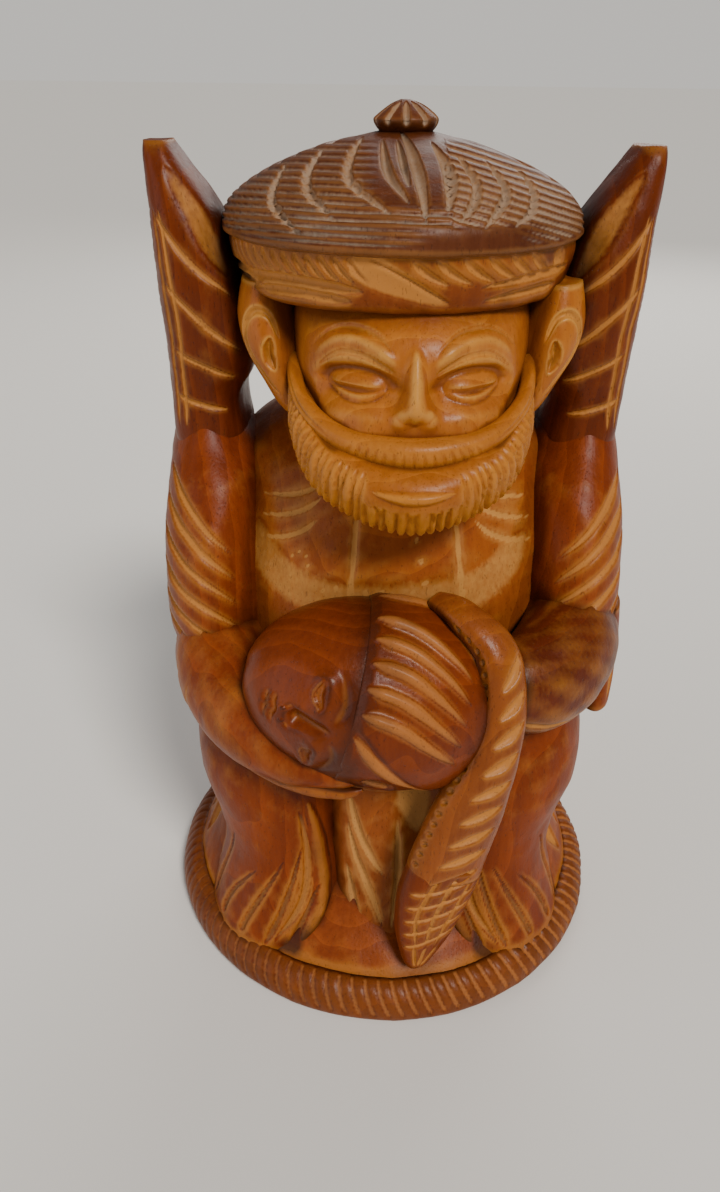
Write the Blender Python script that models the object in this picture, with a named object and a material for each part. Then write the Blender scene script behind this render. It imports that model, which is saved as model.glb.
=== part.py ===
"""Carved wooden figurine: a bearded man with tall wings and a wound hat, in a robe on a round base,
who cradles a sleeping head with a long plaited sash.

The real piece is carved from one length of branch, so every solid here is one carved feature. The
frame has +Z up, the front faces -Y, and the origin is the middle of the underside of the base. Left
and right are the figure's own, so the right arm is at -X. Section tables are in millimetres.
"""
import math

import bmesh
import bpy
from mathutils import Matrix, Vector

MM = 0.001

# Driving dimensions
LOG_RADIUS = 32.0 * MM
TOTAL_HEIGHT = 108.4 * MM
BASE_THICKNESS = 5.0 * MM
HAT_RADIUS = 20.0 * MM
HAT_BRIM_HEIGHT = 96.0 * MM
HAT_BAND_HEIGHT = 89.9 * MM
HAT_TOP_HEIGHT = 105.6 * MM
DOME_ROUNDNESS = 1.8
FINIAL_RADIUS = 3.5 * MM
HEAD_X = 1.1
GAP = 0.3 * MM

RING_POINTS = 20
TURNED_POINTS = 40

# Colour, roughness and metallic value of each finish
FINISHES = {
    "oiled_body": ((0.36, 0.13, 0.035, 1.0), 0.42, 0.0),
    "golden_face": ((0.50, 0.22, 0.06, 1.0), 0.38, 0.0),
    "dark_hat": ((0.16, 0.055, 0.02, 1.0), 0.50, 0.0),
    "red_brown": ((0.22, 0.06, 0.02, 1.0), 0.35, 0.0),
    "dark_edge": ((0.28, 0.09, 0.03, 1.0), 0.48, 0.0),
}


def clear_scene():
    for old in list(bpy.data.objects):
        bpy.data.objects.remove(old, do_unlink=True)


def finish_material(finish):
    material = bpy.data.materials.get(finish)
    if material is None:
        material = bpy.data.materials.new(finish)
        material.use_nodes = True
        colour, roughness, metallic = FINISHES[finish]
        shader = material.node_tree.nodes["Principled BSDF"]
        shader.inputs["Base Color"].default_value = colour
        shader.inputs["Roughness"].default_value = roughness
        shader.inputs["Metallic"].default_value = metallic
    return material


def add_solid(name, rings, finish):
    """Skin a row of closed rings of points and cap both ends."""
    mesh = bpy.data.meshes.new(name)
    bm = bmesh.new()
    loops = [[bm.verts.new(point) for point in ring] for ring in rings]
    count = len(loops[0])
    for lower, upper in zip(loops, loops[1:]):
        for i in range(count):
            j = (i + 1) % count
            bm.faces.new((lower[i], lower[j], upper[j], upper[i]))
    bm.faces.new(loops[0])
    bm.faces.new(loops[-1])
    bmesh.ops.recalc_face_normals(bm, faces=bm.faces[:])
    bm.to_mesh(mesh)
    bm.free()
    mesh.shade_smooth()
    mesh.set_sharp_from_angle(angle=math.radians(50))
    solid = bpy.data.objects.new(name, mesh)
    solid.data.materials.append(finish_material(finish))
    bpy.context.collection.objects.link(solid)
    return solid


def smooth_rows(rows, steps):
    """Read extra rows from a Catmull-Rom curve through the rows of a table."""
    padded = [rows[0]] + list(rows) + [rows[-1]]
    result = []
    for a, b, c, d in zip(padded, padded[1:], padded[2:], padded[3:]):
        for k in range(steps):
            t = k / steps
            row = []
            for p, q, r, s in zip(a, b, c, d):
                bend = (2 * p - 5 * q + 4 * r - s) * t * t + (3 * q - p - 3 * r + s) * t ** 3
                row.append(q + 0.5 * ((r - p) * t + bend))
            result.append(row)
    result.append(list(rows[-1]))
    return result


def stack(name, levels, finish, steps=2):
    """Oval sections one above another: each level is height, middle x, middle y, half x, half y."""
    rings = []
    for z, x, y, half_x, half_y in smooth_rows(levels, steps):
        ring = []
        for i in range(RING_POINTS):
            turn = math.tau * i / RING_POINTS
            point = Vector((x + half_x * math.cos(turn), y + half_y * math.sin(turn), z))
            ring.append(point * MM)
        rings.append(ring)
    return add_solid(name, rings, finish)


def sweep(name, stations, centre, finish, steps=3, points=12):
    """A tapering band along a path: each station is x, y, z, half width and half thickness.

    The thickness points away from the given centre.
    """
    rows = smooth_rows(stations, steps)
    rings = []
    for k, row in enumerate(rows):
        here = Vector(row[:3])
        ahead = Vector(rows[min(k + 1, len(rows) - 1)][:3])
        behind = Vector(rows[max(k - 1, 0)][:3])
        along = (ahead - behind).normalized()
        outward = here - Vector(centre)
        outward = (outward - along * outward.dot(along)).normalized()
        side = along.cross(outward)
        ring = []
        for i in range(points):
            turn = math.tau * i / points
            offset = side * (row[3] * math.cos(turn)) + outward * (row[4] * math.sin(turn))
            ring.append((here + offset) * MM)
        rings.append(ring)
    return add_solid(name, rings, finish)


def turned(name, profile, finish):
    """A solid turned about the middle line: the profile is radius and height, bottom to top."""
    rings = []
    for radius, z in profile:
        ring = []
        for i in range(TURNED_POINTS):
            turn = math.tau * i / TURNED_POINTS
            ring.append(Vector((radius * math.cos(turn), radius * math.sin(turn), z)))
        rings.append(ring)
    return add_solid(name, rings, finish)


def cut_round(target, *neighbours):
    """Cut the target back so that it keeps the gap to each neighbour."""
    for neighbour in neighbours:
        name = neighbour.name + "_cutter"
        cutter = bpy.data.objects.get(name)
        if cutter is None:
            mesh = neighbour.data.copy()
            bm = bmesh.new()
            bm.from_mesh(mesh)
            bm.normal_update()
            spread = [(vert, vert.normal * GAP * 1.2) for vert in bm.verts]
            for vert, offset in spread:
                vert.co += offset
            bm.to_mesh(mesh)
            bm.free()
            cutter = bpy.data.objects.new(name, mesh)
            bpy.context.collection.objects.link(cutter)
            cutter.hide_render = True
            cutter.display_type = "WIRE"
        cut = target.modifiers.new("clear_" + neighbour.name, "BOOLEAN")
        cut.operation = "DIFFERENCE"
        cut.solver = "EXACT"
        cut.object = cutter


def mirrored(levels, middle=0.0):
    """The same levels on the other side of an upright middle plane."""
    return [(z, 2 * middle - x, y, half_x, half_y) for z, x, y, half_x, half_y in levels]


clear_scene()


# Base: a flat round disc with a rounded rim
def build_base():
    edge = 0.8 * MM
    top = BASE_THICKNESS - GAP
    profile = [
        (LOG_RADIUS - edge, 0.0),
        (LOG_RADIUS, edge),
        (LOG_RADIUS, BASE_THICKNESS * 0.45),
        (LOG_RADIUS - 1.3 * MM, BASE_THICKNESS * 0.8),
        (LOG_RADIUS - 3.2 * MM, top),
    ]
    return turned("base", profile, "dark_edge")


# Hat: a wound band, a shallow domed crown and a carved tuft
def build_hat():
    band_profile = [
        (HAT_RADIUS - 4.0 * MM, HAT_BAND_HEIGHT),
        (HAT_RADIUS - 1.9 * MM, HAT_BAND_HEIGHT + 1.2 * MM),
        (HAT_RADIUS - 0.9 * MM, HAT_BAND_HEIGHT + 3.0 * MM),
        (HAT_RADIUS - 0.7 * MM, HAT_BRIM_HEIGHT - GAP),
    ]
    band = turned("hat_band", band_profile, "oiled_body")
    dome_steps = 7
    dome_rise = HAT_TOP_HEIGHT - GAP - HAT_BRIM_HEIGHT
    crown_profile = [(HAT_RADIUS, HAT_BRIM_HEIGHT)]
    for k in range(1, dome_steps):
        turn = math.pi / 2 * k / dome_steps
        radius = HAT_RADIUS * math.cos(turn) ** (2 / DOME_ROUNDNESS)
        height = HAT_BRIM_HEIGHT + dome_rise * math.sin(turn)
        crown_profile.append((radius, height))
    crown_profile.append((FINIAL_RADIUS * 0.8, HAT_TOP_HEIGHT - GAP))
    crown = turned("hat_crown", crown_profile, "dark_hat")
    finial_profile = [
        (FINIAL_RADIUS * 0.7, HAT_TOP_HEIGHT),
        (FINIAL_RADIUS, HAT_TOP_HEIGHT + 0.9 * MM),
        (FINIAL_RADIUS * 0.6, TOTAL_HEIGHT - 0.7 * MM),
        (FINIAL_RADIUS * 0.2, TOTAL_HEIGHT),
    ]
    finial = turned("hat_finial", finial_profile, "dark_hat")
    return band, crown, finial


# Head: skull, ears, beard and the moustache that runs from ear to ear
def build_head():
    head_levels = [
        (70.8, HEAD_X, -13.0, 4.6, 6.0),
        (72.6, HEAD_X, -11.6, 7.8, 9.6),
        (75.5, HEAD_X, -9.8, 10.2, 11.8),
        (79.0, HEAD_X, -8.0, 11.8, 13.4),
        (83.0, HEAD_X, -6.2, 12.9, 14.6),
        (87.0, HEAD_X, -4.8, 13.2, 14.8),
        (89.6, HEAD_X, -3.4, 13.2, 14.0),
    ]
    head = stack("head", head_levels, "golden_face")
    ear_levels = [
        (77.4, -12.2, -8.8, 0.8, 1.4),
        (80.2, -13.2, -8.0, 1.9, 3.2),
        (84.2, -14.6, -6.8, 2.6, 4.2),
        (87.6, -15.2, -6.0, 2.7, 4.0),
        (89.5, -15.2, -5.6, 2.0, 3.0),
    ]
    right_ear = stack("right_ear", ear_levels, "golden_face")
    left_ear = stack("left_ear", mirrored(ear_levels, HEAD_X), "golden_face")
    skull = (HEAD_X, -6.0, 82.0)

    def jaw_stations(half_row):
        """One half of a jaw band, far end first, and its mirror image."""
        near = [(HEAD_X - x, y, z, width, thick) for x, y, z, width, thick in half_row]
        far = [(HEAD_X + x, y, z, width, thick) for x, y, z, width, thick in half_row[-2::-1]]
        return near + far

    moustache_half = [
        (13.0, -9.8, 82.4, 0.9, 0.9),
        (11.5, -15.2, 79.8, 1.0, 1.2),
        (7.4, -20.0, 77.5, 1.2, 1.5),
        (0.0, -22.2, 76.6, 1.4, 1.7),
    ]
    moustache = sweep("moustache", jaw_stations(moustache_half), skull, "golden_face", points=8)
    beard_half = [
        (12.5, -10.0, 80.6, 1.5, 1.2),
        (11.2, -15.0, 77.0, 2.2, 2.0),
        (7.6, -19.4, 73.4, 3.2, 2.9),
        (0.0, -21.8, 71.6, 3.8, 3.3),
    ]
    beard = sweep("beard", jaw_stations(beard_half), skull, "golden_face", steps=2)
    neck_levels = [
        (70.0, 0.7, 0.5, 8.6, 8.6),
        (79.5, HEAD_X, 0.5, 8.2, 8.2),
    ]
    neck = stack("neck", neck_levels, "oiled_body")
    for ear in (right_ear, left_ear):
        cut_round(ear, head)
    cut_round(moustache, head, right_ear, left_ear)
    cut_round(beard, head, moustache, right_ear, left_ear)
    cut_round(neck, head)
    return head, right_ear, left_ear, moustache, beard, neck


# Wings: two tall blades that stand on the shoulders and follow the bark side of the log
def build_wings(ears, hat_band, hat_crown):
    wing_levels = [
        (72.0, -23.0, 4.0, 4.4, 7.6),
        (76.5, -23.3, 3.6, 4.4, 7.8),
        (84.0, -22.0, 2.2, 5.6, 8.0),
        (90.0, -22.7, 1.4, 5.1, 7.6),
        (97.0, -24.1, 1.0, 3.8, 6.2),
        (104.6, -26.5, 0.4, 1.8, 3.4),
    ]
    right_wing = stack("right_wing", wing_levels, "dark_edge")
    left_wing = stack("left_wing", mirrored(wing_levels), "dark_edge")
    cut_round(right_wing, ears[0], hat_band, hat_crown)
    cut_round(left_wing, ears[1], hat_band, hat_crown)
    return right_wing, left_wing


# The cradled head lies on its side, with its crown towards the figure's left hand
HELD_CENTRE = Vector((-1.9, -20.0, 46.0))
HELD_HALF_LENGTH = 16.4
HELD_HALF_WIDTH = 11.7
HELD_TILT = math.radians(12.0)
HAIRLINE_AT = -3.5


def build_held_head():
    """Round sections along the long axis: the face end, and the hair end a little prouder."""
    turn = Matrix.Rotation(-HELD_TILT, 4, "Y") @ Matrix.Rotation(math.radians(90.0), 4, "Y")
    place = Matrix.Translation(HELD_CENTRE * MM) @ turn

    def part(name, start, end, extra, finish):
        steps = 6
        rings = []
        for k in range(steps + 1):
            along = start + (end - start) * k / steps
            share = min(abs(along) / HELD_HALF_LENGTH, 0.985)
            radius = HELD_HALF_WIDTH * math.sqrt(1.0 - share * share) + extra
            ring = []
            for i in range(RING_POINTS):
                angle = math.tau * i / RING_POINTS
                point = Vector((radius * math.cos(angle), radius * 0.92 * math.sin(angle), along))
                ring.append(place @ (point * MM))
            rings.append(ring)
        return add_solid(name, rings, finish)

    face = part("held_head", -HELD_HALF_LENGTH, HAIRLINE_AT, 0.0, "red_brown")
    hair = part("held_hair", HAIRLINE_AT + GAP / MM, HELD_HALF_LENGTH, 0.6, "red_brown")
    return face, hair


# Arms: upper sleeves, forearms that reach round the cradled head, a cuff and a hanging sleeve end
def build_arms(held_head, held_hair, sash):
    sleeve_levels = [
        (43.4, -21.6, -4.4, 4.6, 6.4),
        (46.0, -22.4, -4.0, 6.2, 9.2),
        (52.0, -22.9, -3.0, 6.6, 11.0),
        (60.0, -22.8, -1.6, 6.4, 11.2),
        (67.0, -22.0, 0.4, 6.0, 9.6),
        (71.6, -21.8, 2.6, 4.6, 7.0),
    ]
    right_sleeve = stack("right_sleeve", sleeve_levels, "oiled_body")
    left_sleeve = stack("left_sleeve", mirrored(sleeve_levels), "oiled_body")
    spine = (0.0, 0.0, 45.0)
    right_forearm_stations = [
        (-22.6, -4.0, 47.0, 7.4, 5.6),
        (-21.4, -11.0, 43.6, 7.2, 6.2),
        (-17.0, -18.0, 41.2, 6.0, 6.0),
        (-11.0, -23.2, 39.4, 4.2, 4.6),
        (-5.0, -26.8, 38.4, 1.8, 2.0),
    ]
    right_forearm = sweep("right_forearm", right_forearm_stations, spine, "oiled_body", points=16)
    right_cuff_stations = [
        (-25.0, -9.6, 37.6, 1.0, 1.0),
        (-20.4, -17.0, 35.9, 1.2, 1.2),
        (-13.2, -23.4, 35.6, 1.2, 1.2),
        (-5.6, -27.4, 36.6, 0.8, 0.8),
    ]
    right_cuff = sweep("right_cuff", right_cuff_stations, spine, "oiled_body", points=8)
    left_forearm_stations = [
        (23.4, -4.0, 50.6, 7.2, 5.4),
        (22.2, -11.0, 47.8, 7.4, 6.2),
        (18.0, -17.4, 46.8, 6.8, 5.8),
        (13.0, -21.0, 47.8, 5.4, 4.4),
    ]
    left_forearm = sweep("left_forearm", left_forearm_stations, spine, "dark_edge", points=16)
    drop_levels = [
        (37.4, 27.3, -7.6, 1.9, 4.0),
        (38.8, 27.4, -7.6, 2.3, 4.4),
        (51.0, 27.2, -5.6, 2.4, 4.6),
    ]
    left_sleeve_drop = stack("left_sleeve_drop", drop_levels, "oiled_body", steps=1)
    cut_round(right_forearm, held_head, held_hair, right_sleeve)
    cut_round(right_cuff, right_forearm, held_head)
    cut_round(left_forearm, held_hair, left_sleeve, sash)
    cut_round(left_sleeve_drop, left_sleeve, left_forearm)
    return right_sleeve, left_sleeve, right_forearm, right_cuff, left_forearm, left_sleeve_drop


# Sash: a plaited band over the left forearm, with a knotted net end that hangs to the hem
def build_sash(held_hair):
    spine = (0.0, 0.0, 30.0)
    band_stations = [
        (8.6, -21.4, 57.0, 2.0, 1.8),
        (11.4, -23.2, 53.6, 2.4, 2.2),
        (12.2, -24.6, 48.4, 2.8, 2.5),
        (11.4, -26.0, 42.0, 3.2, 2.6),
        (9.4, -26.8, 34.6, 4.4, 2.7),
        (7.3, -27.0, 26.6, 4.9, 2.7),
        (6.9, -27.0, 25.0, 4.9, 2.7),
    ]
    band = sweep("sash", band_stations, spine, "oiled_body")
    end_stations = [
        (6.8, -27.0, 24.6, 4.9, 2.7),
        (5.8, -27.1, 20.0, 5.0, 2.6),
        (4.6, -27.4, 13.4, 3.8, 2.2),
        (3.4, -28.2, 7.6, 1.3, 1.2),
    ]
    end = sweep("sash_end", end_stations, spine, "oiled_body")
    cut_round(band, held_hair)
    return band, end


# Robe: the skirt over both legs, the legs that show through it, and the panel between them
def build_robe():
    leg_levels = [
        (5.0, -13.2, -11.2, 10.4, 11.4),
        (9.0, -12.6, -10.8, 9.6, 10.6),
        (15.5, -12.6, -10.2, 9.0, 10.0),
        (21.0, -13.8, -9.8, 9.6, 10.4),
        (28.0, -15.2, -9.0, 10.6, 11.2),
        (34.0, -15.4, -7.6, 10.8, 11.2),
        (40.0, -15.0, -6.0, 9.0, 9.6),
    ]
    right_leg = stack("right_leg", leg_levels, "oiled_body")
    left_leg = stack("left_leg", mirrored(leg_levels), "oiled_body")
    panel_levels = [
        (5.0, 0.8, -17.6, 8.6, 8.6),
        (12.0, 0.6, -16.4, 8.2, 6.8),
        (24.0, 0.4, -15.4, 8.0, 5.8),
        (34.0, 0.2, -14.4, 7.6, 5.2),
    ]
    front_panel = stack("front_panel", panel_levels, "oiled_body")
    skirt_levels = [
        (5.0, 0.0, 4.2, 28.4, 24.4),
        (8.5, 0.0, 4.4, 26.4, 22.4),
        (13.0, 0.0, 4.6, 24.2, 20.6),
        (18.0, 0.0, 4.4, 22.8, 20.0),
        (24.0, 0.0, 4.2, 22.8, 20.6),
    ]
    robe_skirt = stack("robe_skirt", skirt_levels, "oiled_body")
    return right_leg, left_leg, front_panel, robe_skirt


def build_torso():
    torso_levels = [
        (24.3, 0.0, 2.8, 22.4, 21.8),
        (40.0, 0.0, 3.6, 22.8, 20.6),
        (55.0, 0.0, 4.6, 22.6, 20.4),
        (64.0, 0.0, 5.4, 21.8, 18.8),
        (69.5, 0.2, 6.0, 20.0, 16.6),
        (73.4, 0.4, 6.4, 15.0, 13.0),
        (75.6, 0.5, 6.4, 10.6, 9.4),
    ]
    return stack("torso", torso_levels, "oiled_body")


base = build_base()
hat_band, hat_crown, hat_finial = build_hat()
head, right_ear, left_ear, moustache, beard, neck = build_head()
right_wing, left_wing = build_wings((right_ear, left_ear), hat_band, hat_crown)
held_head, held_hair = build_held_head()
sash, sash_end = build_sash(held_hair)
arms = build_arms(held_head, held_hair, sash)
right_sleeve, left_sleeve, right_forearm, right_cuff, left_forearm, left_sleeve_drop = arms
right_leg, left_leg, front_panel, robe_skirt = build_robe()
torso = build_torso()

for wing, sleeve in ((right_wing, right_sleeve), (left_wing, left_sleeve)):
    cut_round(wing, sleeve)
cut_round(right_leg, right_forearm, right_cuff, held_head, held_hair, right_sleeve)
cut_round(left_leg, left_forearm, left_sleeve, left_sleeve_drop, held_hair, sash, sash_end)
cut_round(front_panel, right_leg, left_leg, held_head, held_hair, sash, sash_end)
cut_round(torso, right_sleeve, left_sleeve, right_forearm, left_forearm, held_head, held_hair)
cut_round(torso, right_leg, left_leg, front_panel, neck, head, right_wing, left_wing)
cut_round(robe_skirt, right_leg, left_leg, front_panel, sash_end)
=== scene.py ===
"""A figurine carved from one branch: a bearded man with tall wings and a wound hat who cradles a
sleeping head. Sizes are in millimetres; each section carves one feature of the block in turn.
"""
import math

import bpy
import numpy as np
from mathutils import Matrix, Vector
from mathutils.bvhtree import BVHTree


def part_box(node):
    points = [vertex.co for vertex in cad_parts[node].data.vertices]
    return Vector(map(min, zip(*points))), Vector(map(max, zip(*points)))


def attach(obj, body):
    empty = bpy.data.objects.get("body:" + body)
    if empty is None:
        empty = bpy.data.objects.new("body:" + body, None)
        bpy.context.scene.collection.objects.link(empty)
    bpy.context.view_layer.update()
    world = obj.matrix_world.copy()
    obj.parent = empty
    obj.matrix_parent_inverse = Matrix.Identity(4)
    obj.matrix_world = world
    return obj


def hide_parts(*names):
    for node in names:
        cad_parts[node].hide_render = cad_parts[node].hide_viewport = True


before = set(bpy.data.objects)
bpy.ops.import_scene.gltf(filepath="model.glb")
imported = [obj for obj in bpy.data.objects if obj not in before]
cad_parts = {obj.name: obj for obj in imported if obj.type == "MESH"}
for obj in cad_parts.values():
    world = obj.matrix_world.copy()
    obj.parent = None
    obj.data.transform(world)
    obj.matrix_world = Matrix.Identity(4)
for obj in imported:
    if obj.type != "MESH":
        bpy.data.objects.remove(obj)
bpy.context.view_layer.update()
MM = 0.001

# ---------------------------------------------------------------- Viewpoint, table and light
# The figurine stands on a pale table top and is looked down on from a hand's height above it.
# The key light comes over the viewer's right shoulder, with a soft fill and a back light.

EYE = Vector((-4.2, -108.5, 110.1))
LOOK_DOWN = math.radians(29.8)
CAMERA_ROLL = math.radians(0.7)
LENS = 27.2

camera_data = bpy.data.cameras.new("viewpoint")
camera_data.lens = LENS
camera_data.clip_start = 0.005
camera = bpy.data.objects.new("viewpoint", camera_data)
turn = Matrix.Rotation(math.pi / 2 - LOOK_DOWN, 4, "X") @ Matrix.Rotation(CAMERA_ROLL, 4, "Z")
camera.matrix_world = Matrix.Translation(EYE * MM) @ turn
bpy.context.collection.objects.link(camera)
bpy.context.scene.camera = camera


def add_light(name, place, aim, size, power, colour):
    """A square soft box that points at the figurine."""
    data = bpy.data.lights.new(name, "AREA")
    data.size = size * MM
    data.energy = power
    data.color = colour
    light = bpy.data.objects.new(name, data)
    light.location = Vector(place) * MM
    light.rotation_euler = (Vector(aim) - Vector(place)).to_track_quat("-Z", "Y").to_euler()
    bpy.context.collection.objects.link(light)


MID_HEIGHT = (0, 0, 55)
KEY_FROM = Vector((150, -300, 330))
key_data = bpy.data.lights.new("key_light", "SUN")
key_data.energy = 2.9
key_data.angle = math.radians(16)
key_data.color = (1.0, 0.95, 0.87)
key = bpy.data.objects.new("key_light", key_data)
key.rotation_euler = (-KEY_FROM).to_track_quat("-Z", "Y").to_euler()
bpy.context.collection.objects.link(key)
add_light(
    "fill_light", place=(-480, -260, 200), aim=MID_HEIGHT, size=420, power=0.7, colour=(0.96, 0.97, 1.0))
add_light(
    "back_light", place=(160, 460, 360), aim=MID_HEIGHT, size=380, power=1.2, colour=(1.0, 0.97, 0.92))

world = bpy.data.worlds.new("room")
bpy.context.scene.world = world
world.use_nodes = True
room_light = world.node_tree.nodes["Background"]
room_light.inputs["Color"].default_value = (0.90, 0.90, 0.90, 1.0)
room_light.inputs["Strength"].default_value = 0.24
pale_wall = world.node_tree.nodes.new("ShaderNodeBackground")
pale_wall.inputs["Color"].default_value = (0.675, 0.650, 0.612, 1.0)
seen = world.node_tree.nodes.new("ShaderNodeLightPath")
choice = world.node_tree.nodes.new("ShaderNodeMixShader")
world.node_tree.links.new(seen.outputs["Is Camera Ray"], choice.inputs[0])
world.node_tree.links.new(room_light.outputs[0], choice.inputs[1])
world.node_tree.links.new(pale_wall.outputs[0], choice.inputs[2])
world.node_tree.links.new(choice.outputs[0], world.node_tree.nodes["World Output"].inputs["Surface"])

FLOOR_HALF = 30000
floor_mesh = bpy.data.meshes.new("table_top")
corner_shading = [(x * FLOOR_HALF * MM, y * FLOOR_HALF * MM, 0) for x, y in ((-1, -1), (1, -1), (1, 1), (-1, 1))]
floor_mesh.from_pydata(corner_shading, [], [(0, 1, 2, 3)])
floor = bpy.data.objects.new("table_top", floor_mesh)
bpy.context.collection.objects.link(floor)
floor_material = bpy.data.materials.new("pale_table")
floor_material.use_nodes = True
floor_shader = floor_material.node_tree.nodes["Principled BSDF"]
floor_shader.inputs["Base Color"].default_value = (0.80, 0.78, 0.75, 1.0)
floor_shader.inputs["Roughness"].default_value = 0.9
floor_mesh.materials.append(floor_material)

# ---------------------------------------------------------------- Base
# The foot of the branch, sawn flat underneath and left as a round disc. Its rim is rounded with a
# knife and notched all round; the saw cut and the lowest edge are scorched almost black.


# The finish: the wood is stained and oiled outside, and the pattern is cut through the stain, so cuts
# show pale wood. Handling has rubbed the edges, which also carry a painted highlight, and stain and
# dust sit in the low places, which are also darkened with painted shade.


class Term:
    """A number inside a node tree, so that node maths reads as a formula."""

    def __init__(self, tree, socket):
        self.tree = tree
        self.socket = socket

    def step(self, operation, *others):
        """One maths node on this number and any others."""
        node = self.tree.nodes.new("ShaderNodeMath")
        node.operation = operation
        for slot, value in enumerate((self,) + others):
            if isinstance(value, Term):
                self.tree.links.new(value.socket, node.inputs[slot])
            else:
                node.inputs[slot].default_value = value
        return Term(self.tree, node.outputs[0])

    def __add__(self, other):
        return self.step("ADD", other)

    def __sub__(self, other):
        return self.step("SUBTRACT", other)

    def __mul__(self, other):
        return self.step("MULTIPLY", other)

    def __truediv__(self, other):
        return self.step("DIVIDE", other)

    def clamped(self):
        """The number held between 0 and 1."""
        return self.step("MAXIMUM", 0.0).step("MINIMUM", 1.0)

    def between(self, low, high):
        """0 below low, 1 above high, and a straight ramp from one to the other."""
        return ((self - low) / (high - low)).clamped()


def new_group(name, kind, inputs, outputs):
    """A node group with named sockets; gives the tree, its inputs and its output node."""
    tree = bpy.data.node_groups.new(name, kind)
    for label, socket_type, value in inputs:
        socket = tree.interface.new_socket(label, in_out="INPUT", socket_type=socket_type)
        if value is not None:
            socket.default_value = value
    for label, socket_type in outputs:
        tree.interface.new_socket(label, in_out="OUTPUT", socket_type=socket_type)
    source = tree.nodes.new("NodeGroupInput")
    result = tree.nodes.new("NodeGroupOutput")
    return tree, source, result


def noise(tree, scale, detail, offset=(0, 0, 0)):
    """Smooth random values; the scale is in patches per millimetre along x, y and z."""
    place = tree.nodes.new("ShaderNodeTexCoord")
    mapping = tree.nodes.new("ShaderNodeMapping")
    mapping.inputs["Scale"].default_value = [value / MM for value in scale]
    mapping.inputs["Location"].default_value = offset
    texture = tree.nodes.new("ShaderNodeTexNoise")
    texture.inputs["Scale"].default_value = 1.0
    texture.inputs["Detail"].default_value = detail
    tree.links.new(place.outputs["Object"], mapping.inputs["Vector"])
    tree.links.new(mapping.outputs["Vector"], texture.inputs["Vector"])
    return Term(tree, texture.outputs["Fac"])


def attribute(tree, name):
    """A value that the mesh keeps at each of its points."""
    node = tree.nodes.new("ShaderNodeAttribute")
    node.attribute_name = name
    return Term(tree, node.outputs["Fac"])


def blend(tree, share, first, second):
    """Mix two colours; each is a socket or a fixed colour."""
    node = tree.nodes.new("ShaderNodeMix")
    node.data_type = "RGBA"
    tree.links.new(share.socket, node.inputs["Factor"])
    for slot, colour in ((6, first), (7, second)):
        if isinstance(colour, bpy.types.NodeSocket):
            tree.links.new(colour, node.inputs[slot])
        else:
            node.inputs[slot].default_value = colour
    return node.outputs[2]


def build_grain_group():
    """Growth rings round the pith, fibres along the branch, and short dark pores."""
    outputs = [("Tone", "NodeSocketFloat"), ("Fibre", "NodeSocketFloat"), ("Pores", "NodeSocketFloat")]
    inputs = [("Ring Width", "NodeSocketFloat", 2.1)]
    tree, source, result = new_group("branch_grain", "ShaderNodeTree", inputs, outputs)
    place = tree.nodes.new("ShaderNodeTexCoord")
    split = tree.nodes.new("ShaderNodeSeparateXYZ")
    tree.links.new(place.outputs["Object"], split.inputs[0])
    across = Term(tree, split.outputs["X"])
    along = Term(tree, split.outputs["Y"])
    radius = (across * across + along * along).step("SQRT") / MM
    wander = noise(tree, scale=(0.05, 0.05, 0.02), detail=3.0)
    ring_width = Term(tree, source.outputs["Ring Width"])
    ring = ((radius + wander * 9.0) / ring_width).step("FRACT")
    fibre = noise(tree, scale=(1.3, 1.3, 0.09), detail=4.0)
    mottle = noise(tree, scale=(0.11, 0.11, 0.06), detail=3.0, offset=(3.0, 1.0, 2.0))
    tone = (ring.step("POWER", 3.0) * 0.3 + fibre * 0.55 + mottle * 0.75 - 0.3).clamped()
    pores = noise(tree, scale=(5.5, 5.5, 1.3), detail=1.0, offset=(7.0, 2.0, 5.0)).between(0.66, 0.72)
    tree.links.new(tone.socket, result.inputs["Tone"])
    tree.links.new(fibre.socket, result.inputs["Fibre"])
    tree.links.new(pores.socket, result.inputs["Pores"])
    return tree


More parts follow.
